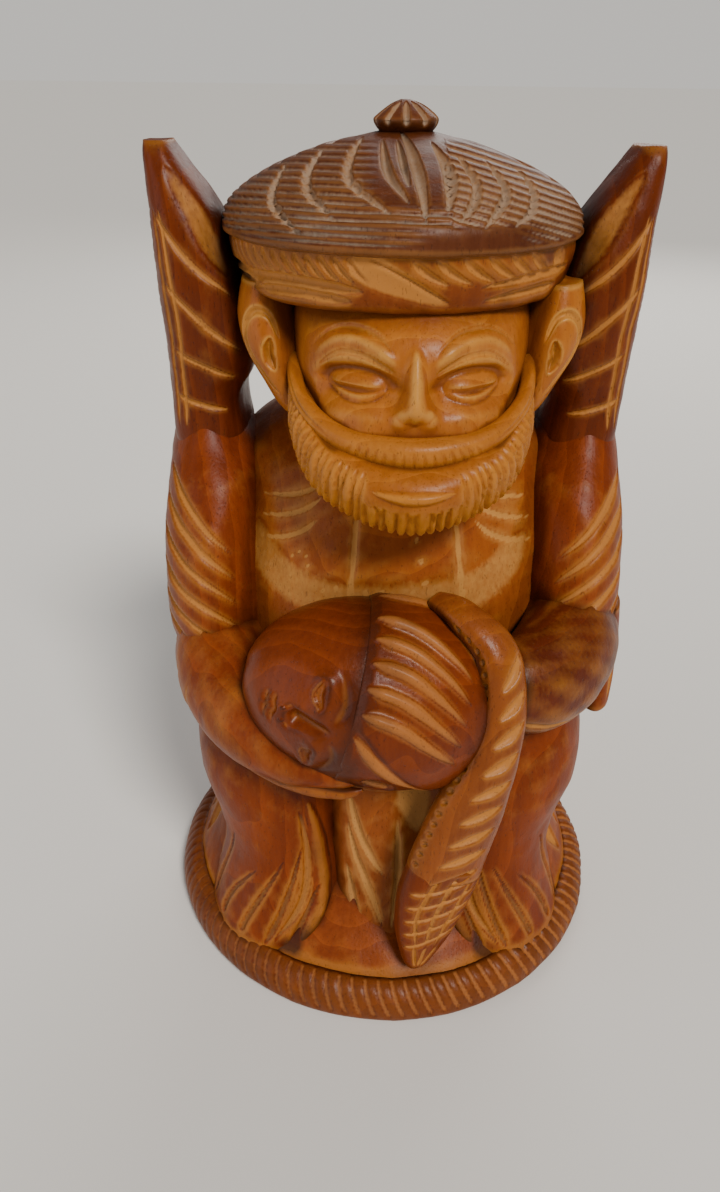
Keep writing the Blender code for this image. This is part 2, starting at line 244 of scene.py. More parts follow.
def build_carving_group():
    """Stain on the outside, pale wood in the cuts, edges paled by rubbing and a painted highlight, and
    corners darkened by stain and painted shade.
    """
    colour = "NodeSocketColor"
    inputs = [
        ("Stain Dark", colour, None),
        ("Stain Light", colour, None),
        ("Bare Wood", colour, None),
        ("Corner Stain And Shade", colour, None),
        ("Tone", "NodeSocketFloat", 0.5),
        ("Cut Amount", "NodeSocketFloat", 0.8),
        ("Rub And Highlight Amount", "NodeSocketFloat", 0.5),
        ("Corner Shade Amount", "NodeSocketFloat", 0.8),
    ]
    outputs = [("Color", colour), ("Cut", "NodeSocketFloat"), ("Corner Shade Mask", "NodeSocketFloat")]
    tree, source, result = new_group("carved_stain", "ShaderNodeTree", inputs, outputs)
    value = {label: source.outputs[label] for label, _, _ in inputs}
    tone = Term(tree, value["Tone"])
    patch = noise(tree, scale=(0.16, 0.16, 0.13), detail=2.0, offset=(1.0, 5.0, 3.0))
    fine = noise(tree, scale=(1.9, 1.9, 1.2), detail=3.0, offset=(2.0, 2.0, 9.0))
    stain = blend(tree, tone, value["Stain Dark"], value["Stain Light"])
    # Convex edges turn paler towards bare wood: rubbing wear together with a painted highlight.
    crest = attribute(tree, "crest") + fine * 0.5 - 0.25
    rub_and_highlight_share = (crest.between(0.18, 0.9) * Term(tree, value["Rub And Highlight Amount"])) * (patch * 0.9 + 0.35)
    worn = blend(tree, rub_and_highlight_share.clamped(), stain, value["Bare Wood"])
    cut = attribute(tree, "cut") * 1.25 + (fine - 0.5) * 0.5 + (patch - 0.5) * 0.3
    cut_share = (cut.between(0.22, 0.75) * Term(tree, value["Cut Amount"])).clamped()
    opened = blend(tree, cut_share, worn, value["Bare Wood"])
    corner_shading = Term(tree, value["Corner Shade Amount"])
    # Hollows and the baked recess values blend towards the corner colour: dark stain deepened with painted
    # shade.
    corner = (attribute(tree, "hollow") + (fine - 0.5) * 0.3 - attribute(tree, "cut") * 0.9).between(0.2, 1.0)
    recess_shade = (attribute(tree, "recess_shade") + (patch - 0.5) * 0.25 + (fine - 0.5) * 0.2).between(0.26, 0.92)
    corner_shade_share = (corner * corner_shading).step("MAXIMUM", recess_shade * (corner_shading * 0.75 + 0.22)).clamped()
    finished = blend(tree, corner_shade_share, opened, value["Corner Stain And Shade"])
    tree.links.new(finished, result.inputs["Color"])
    tree.links.new(cut_share.socket, result.inputs["Cut"])
    tree.links.new(corner_shade_share.socket, result.inputs["Corner Shade Mask"])
    return tree


def build_dust_group():
    """Grey household dust that lies in cuts and on level places."""
    inputs = [
        ("Color", "NodeSocketColor", None),
        ("Cut", "NodeSocketFloat", 0.0),
        ("Amount", "NodeSocketFloat", 0.2),
    ]
    outputs = [("Color", "NodeSocketColor"), ("Dust", "NodeSocketFloat")]
    tree, source, result = new_group("settled_dust", "ShaderNodeTree", inputs, outputs)
    cut = Term(tree, source.outputs["Cut"])
    speck = noise(tree, scale=(3.2, 3.2, 3.2), detail=4.0, offset=(4.0, 4.0, 1.0))
    cloud = noise(tree, scale=(0.2, 0.2, 0.2), detail=2.0, offset=(8.0, 3.0, 1.0))
    share = (cut * 1.1 + attribute(tree, "hollow") * 0.5) * (speck * 1.2 + cloud * 1.2 - 0.45)
    dust = (share.clamped() * Term(tree, source.outputs["Amount"])).clamped()
    dusty = blend(tree, dust, source.outputs["Color"], (0.36, 0.31, 0.25, 1.0))
    tree.links.new(dusty, result.inputs["Color"])
    tree.links.new(dust.socket, result.inputs["Dust"])
    return tree


GRAIN = build_grain_group()
CARVING = build_carving_group()
DUST = build_dust_group()


# The corner colour is dark stain in the hollows together with painted shade; the corners amount sets how
# strongly it is laid on, and pores are darkened with the same colour.
def wood(name, dark, light, bare, corner, cut=0.8, rub_and_highlight=0.5, dust=0.04, gloss=0.38, coat=0.04, corner_shading=0.8):
    """One finish of the same wood: stain colours, how far cuts show through, dust and polish."""
    material = bpy.data.materials.new(name)
    material.use_nodes = True
    tree = material.node_tree
    shader = tree.nodes["Principled BSDF"]

    def place(group):
        """Add one of the shared effects to this finish."""
        node = tree.nodes.new("ShaderNodeGroup")
        node.node_tree = group
        return node

    grain, carving, settled = place(GRAIN), place(CARVING), place(DUST)
    colours = {"Stain Dark": dark, "Stain Light": light, "Bare Wood": bare, "Corner Stain And Shade": corner}
    for label, colour in colours.items():
        carving.inputs[label].default_value = (*colour, 1.0)
    carving.inputs["Cut Amount"].default_value = cut
    carving.inputs["Rub And Highlight Amount"].default_value = rub_and_highlight
    carving.inputs["Corner Shade Amount"].default_value = corner_shading
    settled.inputs["Amount"].default_value = dust
    tree.links.new(grain.outputs["Tone"], carving.inputs["Tone"])
    tree.links.new(carving.outputs["Color"], settled.inputs["Color"])
    tree.links.new(carving.outputs["Cut"], settled.inputs["Cut"])
    pores = Term(tree, grain.outputs["Pores"])
    pored = blend(tree, pores * 0.35, settled.outputs["Color"], (*corner, 1.0))
    tree.links.new(pored, shader.inputs["Base Color"])
    cut_mask = Term(tree, carving.outputs["Cut"])
    fibre = Term(tree, grain.outputs["Fibre"])
    rough = cut_mask * 0.22 + fibre * 0.16 + Term(tree, settled.outputs["Dust"]) * 0.35 + (gloss - 0.08)
    tree.links.new(rough.clamped().socket, shader.inputs["Roughness"])
    shader.inputs["Coat Weight"].default_value = coat
    shader.inputs["Coat Roughness"].default_value = 0.28
    shader.inputs["Specular IOR Level"].default_value = 0.15
    chatter = noise(tree, scale=(2.6, 2.6, 1.6), detail=3.0, offset=(5.0, 1.0, 1.0))
    height = fibre * 0.5 - pores * 0.5 + chatter * 0.6
    bump = tree.nodes.new("ShaderNodeBump")
    bump.inputs["Strength"].default_value = 0.55
    bump.inputs["Distance"].default_value = 0.12 * MM
    tree.links.new(height.socket, bump.inputs["Height"])
    tree.links.new(bump.outputs["Normal"], shader.inputs["Normal"])
    return material


# The carver's tools: a blank is a rough form with closed ends, and gouge and knife strokes sink or raise
# its surface. The depth of every stroke is kept, because the finish is different where a tool has been.


def smooth_rows(rows, steps):
    """Points on a Catmull-Rom curve through the rows of a table."""
    rows = np.asarray(rows, float)
    padded = np.vstack([rows[:1], rows, rows[-1:]])
    t = (np.arange(steps) / steps)[:, None]
    pieces = []
    for a, b, c, d in zip(padded, padded[1:], padded[2:], padded[3:]):
        bend = (2 * a - 5 * b + 4 * c - d) * t ** 2 + (3 * b - a - 3 * c + d) * t ** 3
        pieces.append(b + 0.5 * ((c - a) * t + bend))
    pieces.append(rows[-1:])
    return np.vstack(pieces)


def evenly_spaced(rows, columns, spacing, fewest):
    """The same table with rows at even distances along the line that its first columns draw."""
    lengths = np.concatenate([[0], np.cumsum(np.linalg.norm(np.diff(rows[:, :columns], axis=0), axis=1))])
    even = np.linspace(0, lengths[-1], max(int(lengths[-1] / spacing), fewest))
    return np.stack([np.interp(even, lengths, column) for column in rows.T], axis=1)


def unit(vectors):
    """Vectors brought to length 1."""
    return vectors / np.maximum(np.linalg.norm(vectors, axis=-1, keepdims=True), 1e-9)


CARVED = []
FINE_BEND = 0.05
BROAD_BEND = 0.16
WAVE_SIZES = (9.0, 5.5, 3.4, 2.2)
WAVES_OF_A_SIZE = 3


class Blank:
    """Part of the block while it is carved: rings of points that close at both ends."""

    def __init__(self, rings, end_rows=4):
        rows, around, _ = rings.shape
        first, last = rings[0], rings[-1]
        lead, tail = [], []
        for k in range(end_rows):
            share = (k + 0.3) / end_rows
            lead.append(first.mean(0) + (first - first.mean(0)) * share)
            tail.append(last.mean(0) + (last - last.mean(0)) * share)
        rings = np.concatenate([np.array(lead).reshape(-1, around, 3), rings,
                                np.array(tail[::-1]).reshape(-1, around, 3)])
        rows = len(rings)
        corner = np.arange(rows * around).reshape(rows, around)
        nxt = np.roll(corner, -1, axis=1)
        quads = np.stack([corner[:-1], nxt[:-1], nxt[1:], corner[1:]], axis=-1).reshape(-1, 4)
        low, high = rows * around, rows * around + 1
        self.caps = [(low, int(b), int(a)) for a, b in zip(corner[0], nxt[0])]
        self.caps += [(high, int(a), int(b)) for a, b in zip(corner[-1], nxt[-1])]
        self.quads = quads
        self.grid = (rows, around)
        self.points = np.vstack([rings.reshape(-1, 3), first.mean(0)[None], last.mean(0)[None]])
        self.start()

    def start(self):
        """Note the edges, and begin with no strokes."""
        count = len(self.points)
        self.dig = np.zeros(count)
        self.lift = np.zeros(count)
        self.cut_mark = np.zeros(count)
        q = self.quads
        sides = [q[:, [i, (i + 1) % 4]] for i in range(4)]
        self.edges = np.unique(np.sort(np.vstack(sides), axis=1), axis=0)
        self.find_normals()

    def find_normals(self):
        """Work out which way the surface faces at every point."""
        p, q = self.points, self.quads
        across = np.cross(p[q[:, 2]] - p[q[:, 0]], p[q[:, 3]] - p[q[:, 1]])
        total = np.zeros_like(p)
        for i in range(4):
            for axis in range(3):
                total[:, axis] += np.bincount(q[:, i], across[:, axis], len(p))
        for cap in (self.caps[:len(self.caps) // 2], self.caps[len(self.caps) // 2:]):
            if cap:
                tri = np.array(cap)
                flat = np.cross(p[tri[:, 1]] - p[tri[:, 0]], p[tri[:, 2]] - p[tri[:, 0]])
                total[tri[0, 0]] = flat.sum(0)
        self.normals = unit(total)

    def stroke(self, path, width, depth, shape="gouge", ends=(0.35, 0.35), mark=1.0):
        """One tool stroke along points near the surface. A negative depth raises a ridge."""
        track = smooth_rows(path, 6)
        found = []
        for point in track:
            k = np.argmin(((self.points - point) ** 2).sum(1))
            found.append(point - self.normals[k] * ((point - self.points[k]) @ self.normals[k]))
        track = np.array(found)
        low, high = track.min(0) - width, track.max(0) + width
        near = np.where(((self.points > low) & (self.points < high)).all(1))[0]
        if not len(near):
            return
        spots = self.points[near]
        best = np.full(len(near), 1e9)
        where = np.zeros(len(near))
        lengths = np.concatenate([[0], np.cumsum(np.linalg.norm(np.diff(track, axis=0), axis=1))])
        for a, b, start, stop in zip(track, track[1:], lengths, lengths[1:]):
            line = b - a
            share = np.clip(((spots - a) @ line) / max(line @ line, 1e-9), 0, 1)
            away = np.linalg.norm(spots - a - share[:, None] * line, axis=1)
            closer = away < best
            best = np.where(closer, away, best)
            where = np.where(closer, start + share * (stop - start), where)
        share = where / max(lengths[-1], 1e-9)
        swell = np.ones(len(near))
        if ends[0] > 0:
            swell = np.minimum(swell, np.sqrt(np.clip(share / ends[0], 0, 1)))
        if ends[1] > 0:
            swell = np.minimum(swell, np.sqrt(np.clip((1 - share) / ends[1], 0, 1)))
        across = np.clip(best / np.maximum(width / 2 * swell, 1e-6), 0, 1)
        profile = {"gouge": 1 - across ** 2, "vee": 1 - across, "round": (1 - across ** 2) ** 2}[shape]
        amount = abs(depth) * profile * swell
        if depth > 0:
            self.dig[near] = np.maximum(self.dig[near], amount)
            self.cut_mark[near] = np.maximum(self.cut_mark[near], mark * np.clip(profile * swell * 1.6, 0, 1))
        else:
            self.lift[near] = np.maximum(self.lift[near], amount)

    def settle(self):
        """Carry out the strokes so far."""
        self.points = self.points + self.normals * (self.lift - self.dig)[:, None]
        self.dig[:] = 0
        self.lift[:] = 0
        self.find_normals()

    def averaged(self, values, rounds):
        """Each point's value drawn towards its neighbours'."""
        a, b = self.edges.T
        degree = np.maximum(np.bincount(a, minlength=len(values)) + np.bincount(b, minlength=len(values)), 1)
        degree = degree[:, None]
        for _ in range(rounds):
            total = np.zeros_like(values)
            for axis in range(values.shape[1]):
                total[:, axis] = np.bincount(a, values[b, axis], len(values))
                total[:, axis] += np.bincount(b, values[a, axis], len(values))
            values = np.where(total == 0, values, 0.4 * values + 0.6 * total / degree)
        return values

    def soften(self, rounds):
        """Rub a carved surface smooth with sandpaper."""
        self.points = self.averaged(self.points, rounds)
        self.find_normals()

    def hand_work(self, amount, seed):
        """The shallow unevenness that a knife leaves on every surface."""
        rng = np.random.default_rng(seed)
        wave = np.zeros(len(self.points))
        for size in WAVE_SIZES:
            for _ in range(WAVES_OF_A_SIZE):
                direction = unit(rng.normal(size=3)) * math.tau / size
                wave += np.sin(self.points @ direction + rng.uniform(0, math.tau)) * size / WAVE_SIZES[0]
        self.points = self.points + self.normals * (wave * amount / WAVES_OF_A_SIZE)[:, None]
        self.find_normals()

    def finish(self, name, node, slot, material):
        """Make the carved piece a mesh object that stands for its plain solid."""
        self.settle()
        soft = self.averaged(self.points, 5)
        bend = ((soft - self.points) * self.normals).sum(1) / FINE_BEND
        wide = self.averaged(self.points, 24)
        broad = ((wide - self.points) * self.normals).sum(1) / BROAD_BEND
        bend = np.nan_to_num(bend + broad) / 2
        mesh = bpy.data.meshes.new(name)
        faces = [tuple(face) for face in self.quads.tolist()] + self.caps
        mesh.from_pydata((self.points * MM).tolist(), [], faces)
        for label, values in (("cut", self.cut_mark), ("hollow", bend), ("crest", -bend)):
            layer = mesh.attributes.new(label, "FLOAT", "POINT")
            layer.data.foreach_set("value", np.clip(values, 0, 1).astype(np.float32))
        mesh.shade_smooth()
        mesh.materials.append(material)
        piece = bpy.data.objects.new(name, mesh)
        bpy.context.collection.objects.link(piece)
        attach(piece, "root")
        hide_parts(node)
        CARVED.append((self, mesh))


def shape_with_nodes(blank, tree, values):
    """Run a node tree over a blank and take back its points and the depth of its cuts."""
    mesh = bpy.data.meshes.new(tree.name)
    faces = [tuple(face) for face in blank.quads.tolist()] + blank.caps
    mesh.from_pydata(blank.points.tolist(), [], faces)
    rough = bpy.data.objects.new(tree.name, mesh)
    bpy.context.collection.objects.link(rough)
    modifier = rough.modifiers.new(tree.name, "NODES")
    modifier.node_group = tree
    for item in tree.interface.items_tree:
        if item.in_out == "INPUT" and item.name in values:
            modifier[item.identifier] = values[item.name]
    shaped = rough.evaluated_get(bpy.context.evaluated_depsgraph_get())
    plain = bpy.data.meshes.new_from_object(shaped)
    points = np.empty(len(plain.vertices) * 3, np.float32)
    plain.vertices.foreach_get("co", points)
    mark = np.empty(len(plain.vertices), np.float32)
    plain.attributes["cut"].data.foreach_get("value", mark)
    blank.points = points.reshape(-1, 3).astype(float)
    blank.cut_mark = mark.astype(float)
    blank.find_normals()
    rough.modifiers.remove(modifier)
    bpy.data.objects.remove(rough)
    bpy.data.meshes.remove(plain)


def cutting_tree(name, inputs, formula):
    """A tree that sinks a surface by a formula of each point's place, and marks how deep it went."""
    sockets = [("Geometry", "NodeSocketGeometry", None)]
    sockets += [(label, "NodeSocketFloat", value) for label, value in inputs]
    sockets.append(("Material", "NodeSocketMaterial", None))
    tree, source, result = new_group(name, "GeometryNodeTree", sockets, [("Geometry", "NodeSocketGeometry")])
    position = tree.nodes.new("GeometryNodeInputPosition")
    split = tree.nodes.new("ShaderNodeSeparateXYZ")
    tree.links.new(position.outputs[0], split.inputs[0])
    place = [Term(tree, split.outputs[k]) for k in range(3)]
    value = {label: Term(tree, source.outputs[label]) for label, _ in inputs}
    share, depth = formula(place, value)
    normal = tree.nodes.new("GeometryNodeInputNormal")
    scaled = tree.nodes.new("ShaderNodeVectorMath")
    scaled.operation = "SCALE"
    tree.links.new(normal.outputs[0], scaled.inputs[0])
    tree.links.new((share * depth * -1.0).socket, scaled.inputs["Scale"])
    store = tree.nodes.new("GeometryNodeStoreNamedAttribute")
    store.data_type = "FLOAT"
    store.domain = "POINT"
    store.inputs["Name"].default_value = "cut"
    move = tree.nodes.new("GeometryNodeSetPosition")
    realize = tree.nodes.new("GeometryNodeRealizeInstances")
    finish = tree.nodes.new("GeometryNodeSetMaterial")
    tree.links.new(source.outputs["Geometry"], store.inputs["Geometry"])
    tree.links.new(share.socket, store.inputs["Value"])
    tree.links.new(store.outputs["Geometry"], move.inputs["Geometry"])
    tree.links.new(scaled.outputs[0], move.inputs["Offset"])
    tree.links.new(move.outputs["Geometry"], realize.inputs["Geometry"])
    tree.links.new(realize.outputs["Geometry"], finish.inputs["Geometry"])
    tree.links.new(source.outputs["Material"], finish.inputs["Material"])
    tree.links.new(finish.outputs["Geometry"], result.inputs["Geometry"])
    return tree


def turned_blank(profile, spacing, steps=8):
    """A round blank turned about the branch's middle: radius and height, bottom to top."""
    rows = evenly_spaced(smooth_rows(profile, steps), 2, spacing, 4)
    around = int(math.tau * rows[:, 0].max() / spacing)
    turn = np.arange(around) * math.tau / around
    x = rows[:, :1] * np.cos(turn)
    y = rows[:, :1] * np.sin(turn)
    z = np.repeat(rows[:, 1:], around, axis=1)
    return Blank(np.stack([x, y, z], axis=-1))


LOG_RADIUS = (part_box("base")[1][0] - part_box("base")[0][0]) / 2 / MM
RIM_TOP = 5.2
RIM_NOTCHES = 104


def rim_formula(place, value):
    """Slanting notches over the rim, deeper on the figure's left."""
    x, y, z = place
    angle = y.step("ARCTAN2", x) / math.tau
    radius = (x * x + y * y).step("SQRT")
    turns = angle * value["Notches"] + z * value["Slant"]
    across = (turns.step("FRACT") - 0.5).step("ABSOLUTE") * 2.0 / value["Width"]
    notch = (across * across * -1.0 + 1.0).clamped()
    rim = radius.between(LOG_RADIUS - 3.6, LOG_RADIUS - 2.8) * z.between(1.0, 1.8)
    side = (x / LOG_RADIUS * 0.35 + 0.65).clamped()
    return notch * rim * side, value["Depth"]


rim_tree = cutting_tree(
    "rim_notches",
    [("Notches", RIM_NOTCHES), ("Slant", 0.22), ("Width", 0.42), ("Depth", 0.42)],
    rim_formula)
base_profile = [
    (LOG_RADIUS - 0.9, 0.0), (LOG_RADIUS - 0.1, 0.7), (LOG_RADIUS, 2.0), (LOG_RADIUS - 0.4, 3.3),
    (LOG_RADIUS - 1.5, 4.6), (LOG_RADIUS - 2.9, RIM_TOP), (LOG_RADIUS - 3.9, 4.8), (LOG_RADIUS - 7.0, 4.6)]
base = turned_blank(base_profile, spacing=0.3)
RIM_WOOD = wood(
    "scorched_rim", dark=(0.055, 0.008, 0.002), light=(0.17, 0.032, 0.004), bare=(0.40, 0.130, 0.022),
    corner=(0.012, 0.004, 0.001), cut=0.8, rub_and_highlight=0.25)
shape_with_nodes(base, rim_tree, {"Notches": float(RIM_NOTCHES), "Material": RIM_WOOD})
base.hand_work(amount=0.07, seed=1)
base.finish("notched_base", "base", "dark_edge", RIM_WOOD)

# ---------------------------------------------------------------- Robe skirt
# The robe widens into the base behind and beside the legs, with long hollow folds cut by a gouge.


def oval_stack(levels, spacing, steps=12, fullness=1.0):
    """Oval sections one above another: height, middle x, middle y, half x, half y.

    A fullness below 1 squares the section.
    """
    rows = smooth_rows(levels, steps)
    reach = rows[:, 3:5].max()
    around = max(int(math.tau * reach / spacing), 24)
    rows = evenly_spaced(rows, 4, spacing, 4)
    turn = np.arange(around) * math.tau / around
    x = rows[:, 1, None] + rows[:, 3, None] * np.sign(np.cos(turn)) * np.abs(np.cos(turn)) ** fullness
    y = rows[:, 2, None] + rows[:, 4, None] * np.sign(np.sin(turn)) * np.abs(np.sin(turn)) ** fullness
    z = np.repeat(rows[:, :1], around, axis=1)
    return Blank(np.stack([x, y, z], axis=-1))


def spot(turn, height, radius):
    """A point on the log: degrees from the front towards the figure's left, height and radius."""
    angle = math.radians(turn)
    return (radius * math.sin(angle), -radius * math.cos(angle), height)


BARE = (0.50, 0.20, 0.034)
BODY_WOOD = wood(
    "oiled_body", dark=(0.10, 0.011, 0.001), light=(0.29, 0.052, 0.003), bare=BARE,
    corner=(0.020, 0.003, 0.001), gloss=0.42)

skirt = oval_stack([
    (4.2, 0.0, 0.2, 29.2, 29.0), (5.2, 0.0, 0.4, 28.8, 28.5), (7.0, 0.0, 0.8, 28.0, 27.2),
    (10.0, 0.0, 1.8, 26.6, 25.0), (14.0, 0.0, 3.0, 25.0, 22.9), (19.0, 0.0, 3.7, 23.5, 21.5),
    (24.0, 0.0, 3.8, 22.9, 21.6), (27.0, 0.0, 3.8, 22.6, 21.4)], spacing=0.34)
for turn in range(78, 284, 11):
    lean = 2.5 if turn % 2 else -2.5
    fold = [spot(turn, 6.2, 27), spot(turn + lean, 13, 25), spot(turn + lean * 1.6, 24, 23)]
    skirt.stroke(fold, width=2.6, depth=0.9, shape="gouge", ends=(0.2, 0.7))
skirt.hand_work(amount=0.10, seed=2)
SKIRT_WOOD = wood(
    "robe_skirt_wood", dark=(0.13, 0.017, 0.002), light=(0.34, 0.074, 0.006), bare=BARE,
    corner=(0.022, 0.004, 0.001), gloss=0.44)
skirt.finish("robe_skirt_folds", "robe_skirt", "oiled_body", SKIRT_WOOD)

# ---------------------------------------------------------------- Legs
# The thighs come forward under the cradled head and the shins run down into the robe, where short
# upright gouge cuts fan out above the rim.

LEG = [
    (4.0, -13.4, -11.8, 12.4, 12.9), (5.4, -13.4, -11.6, 12.1, 12.6), (9.5, -13.3, -11.1, 11.1, 11.8),
    (15.5, -13.3, -10.5, 10.0, 10.6), (21.0, -14.0, -9.9, 9.9, 10.5), (28.0, -15.3, -9.0, 10.7, 11.2),
    (34.0, -15.5, -7.8, 10.8, 11.2), (40.0, -15.2, -6.0, 9.4, 9.8)]
for side, word in ((1, "right"), (-1, "left")):
    leg = oval_stack([(z, side * x, y, half_x, half_y) for z, x, y, half_x, half_y in LEG], spacing=0.32)
    for k, turn in enumerate(range(-76, -22, 8)):
        low = spot(side * turn, 5.0, 28.5)
        high = spot(side * (turn + 9), 15.5 + 2.6 * (k % 3), 24.5)
        middle = spot(side * (turn + 2), 9.0, 26.5)
        leg.stroke([low, middle, high], width=1.15, depth=0.6, shape="gouge", ends=(0.15, 0.85), mark=0.42)
    shin = [(-9.4, -22, 28), (-7.6, -22.5, 20), (-8.0, -23.5, 12), (-12.5, -25.5, 5.6)]
    leg.stroke([(side * x, y, z) for x, y, z in shin],
               width=2.8, depth=-0.9, shape="round", ends=(0.3, 0.2))
    beside_shin = [(-9.4, -21, 27), (-8.4, -22, 19), (-9.4, -23, 12), (-13, -25, 6.4)]
    leg.stroke([(side * x * 1.22, y, z) for x, y, z in beside_shin],
               width=1.3, depth=0.6, shape="gouge", ends=(0.4, 0.3), mark=0.6)
    leg.hand_work(amount=0.12, seed=3 + side)
    leg.finish(word + "_leg_folds", word + "_leg", "oiled_body", BODY_WOOD)

# ---------------------------------------------------------------- Front panel
# The robe between the shins is cut back below the cradled head, where end grain shows its pores;
# two long slanting knife lines cross it.

panel = oval_stack([
    (4.6, 0.8, -17.8, 9.4, 9.2), (7.0, 0.8, -17.2, 9.0, 8.0), (12.0, 0.6, -16.4, 8.6, 6.8),
    (24.0, 0.4, -15.4, 8.4, 5.8), (34.0, 0.2, -14.4, 8.0, 5.2)], spacing=0.3)
panel.stroke([(-6.5, -20, 30), (-4.5, -21, 24), (-0.5, -22, 17)], width=1.3, depth=0.6)
panel.stroke([(-6.8, -21, 25), (-3.6, -22, 17), (-0.4, -24, 9)], width=1.2, depth=0.6)
panel.stroke([(-7.0, -22, 18), (-5.4, -23, 12), (-3.6, -25, 7)], width=1.2, depth=0.5)
panel.stroke([(1.0, -21, 27), (1.4, -22, 18), (0.6, -24, 9)], width=1.0, depth=0.35)
panel.stroke([(1.2, -20, 33), (3.4, -21, 29), (4.2, -22, 24)],
             width=6.5, depth=0.25, shape="round", ends=(0.4, 0.5), mark=0.8)
panel.hand_work(amount=0.16, seed=6)
PANEL_WOOD = wood(
    "raw_panel", dark=(0.16, 0.030, 0.004), light=(0.34, 0.085, 0.009), bare=(0.50, 0.24, 0.06),
    corner=(0.03, 0.006, 0.002), gloss=0.5)
panel.finish("robe_panel", "front_panel", "oiled_body", PANEL_WOOD)

# ---------------------------------------------------------------- Torso
# Chest and back of the coat. Neckline folds hang in curves on each side of the beard, two lines
# mark the coat's front edges, and the back has hanging folds above a seam down the spine.

torso = oval_stack([
    (24.0, 0.0, 5.0, 22.6, 20.0), (40.0, 0.0, 3.6, 23.0, 21.0), (55.0, 0.0, 4.6, 22.8, 20.8),
    (64.0, 0.0, 5.4, 22.0, 19.0), (69.5, 0.2, 6.0, 20.4, 16.8), (73.4, 0.4, 6.4, 16.0, 13.4),
    (75.8, 0.5, 6.4, 10.6, 9.4)], spacing=0.34)
for side in (-1, 1):
    for drop in range(3):
        low = 71.3 - 3.0 * drop
        fold = [(side * 9.8, -13, low + 0.4), (side * 12.2, -13, low - 1.4), (side * 15.2, -11.5, low - 2.9),
                (side * 19.0, -8.5, low - 4.0)]
        torso.stroke(fold, width=0.8, depth=0.3, shape="vee", ends=(0.2, 0.5))
torso.stroke([(-4.6, -12, 69), (-5.0, -14, 62), (-5.4, -15, 54)],
             width=0.8, depth=0.3, shape="vee", ends=(0.1, 0.1))
torso.stroke([(7.0, -12, 69), (7.6, -14, 62), (8.4, -15, 55)],
             width=0.8, depth=0.3, shape="vee", ends=(0.1, 0.1))
for k in range(4):
    stud = [(1.6 + 0.5 * k, -14, 66.4 - 2.7 * k), (2.2 + 0.5 * k, -14, 66.1 - 2.7 * k)]
    torso.stroke(stud, width=0.9, depth=0.35, shape="gouge", ends=(0.5, 0.5))
for turn in range(0, 360, 45):
    angle = math.radians(turn)
    dot = (-12.6 + 1.7 * math.cos(angle), -13.5, 59.6 + 1.7 * math.sin(angle))
    torso.stroke([dot, (dot[0] + 0.25, dot[1], dot[2] - 0.1)],
                 width=0.7, depth=0.3, shape="gouge", ends=(0.5, 0.5))
for k in range(7):
    mark = (-9.5 + 1.9 * k, -15.5, 57.4 + 0.5 * math.sin(2.2 * k))
    torso.stroke([mark, (mark[0] + 0.4, mark[1], mark[2] - 0.7)],
                 width=0.6, depth=0.3, shape="vee", ends=(0.4, 0.4))
raw_hollow = [(-19, -9, 64), (-17, -11, 59), (-10, -15, 56), (0, -16, 56), (9, -15.5, 57), (14, -13, 59),
              (18, -10, 63)]
torso.stroke(raw_hollow, width=7.5, depth=0.3, shape="round", ends=(0.1, 0.1), mark=0.5)
for row in range(6):
    sag = [(x, 24, 66 - 6.5 * row - 5.5 * (1 - (x / 19.0) ** 2)) for x in (-19, -12, -5, 0, 5, 12, 19)]
    torso.stroke(sag, width=1.9, depth=0.65, shape="gouge", ends=(0.25, 0.25))
torso.stroke([(0, 24, 71), (0, 26, 55), (0, 26, 38), (0, 26, 26)],
             width=1.2, depth=0.6, shape="vee", ends=(0.05, 0.05))
torso.hand_work(amount=0.12, seed=8)
COAT_WOOD = wood(
    "worn_coat", dark=(0.17, 0.026, 0.002), light=(0.42, 0.110, 0.010), bare=(0.56, 0.26, 0.055),
    corner=(0.045, 0.008, 0.001), gloss=0.44, corner_shading=0.35)
torso.finish("coat_front_and_back", "torso", "oiled_body", COAT_WOOD)

# ---------------------------------------------------------------- Upper arms
# Full sleeves with curved folds that fan from the outer edge down towards the chest.

SLEEVE = [
    (43.0, -21.6, -4.4, 4.8, 6.6), (46.0, -22.5, -4.0, 6.3, 9.4), (52.0, -22.9, -3.0, 6.7, 11.1),
    (60.0, -22.8, -1.6, 6.5, 11.3), (67.0, -22.4, 0.6, 6.2, 10.0), (71.0, -22.8, 2.6, 5.2, 8.7),
    (74.0, -23.2, 3.6, 4.0, 7.4), (76.5, -23.4, 3.6, 2.4, 5.0)]
for side, word in ((1, "right"), (-1, "left")):
    sleeve = oval_stack([(z, side * x, y, half_x, half_y) for z, x, y, half_x, half_y in SLEEVE],
                        spacing=0.28)
    for k in range(6):
        top = 68.5 - 3.5 * k
        fold = [(side * -29.2, -3.0, top + 0.6), (side * -27.4, -9.0, top - 1.2),
                (side * -23.5, -13.0, top - 4.0), (side * -18.6, -12.6, top - 8.2)]
        sleeve.stroke(fold, width=1.15 + 0.25 * (k % 2), depth=0.6, shape="gouge", ends=(0.35, 0.6))
        back = [(side * -29.2, 2.0, top), (side * -27.0, 7.5, top - 2.2), (side * -23.0, 10.2, top - 5.2)]
        sleeve.stroke(back, width=1.3, depth=0.55, shape="gouge", ends=(0.3, 0.55))
    sleeve.hand_work(amount=0.12, seed=10 + side)
    sleeve.finish(word + "_sleeve_folds", word + "_sleeve", "oiled_body", BODY_WOOD)

# ---------------------------------------------------------------- Forearms, cuff and sleeve end
# The right sleeve tapers round under the cradled head to a rolled hem. The left forearm is stained
# darker and stays smooth; the empty end of its sleeve hangs as a flat tab.


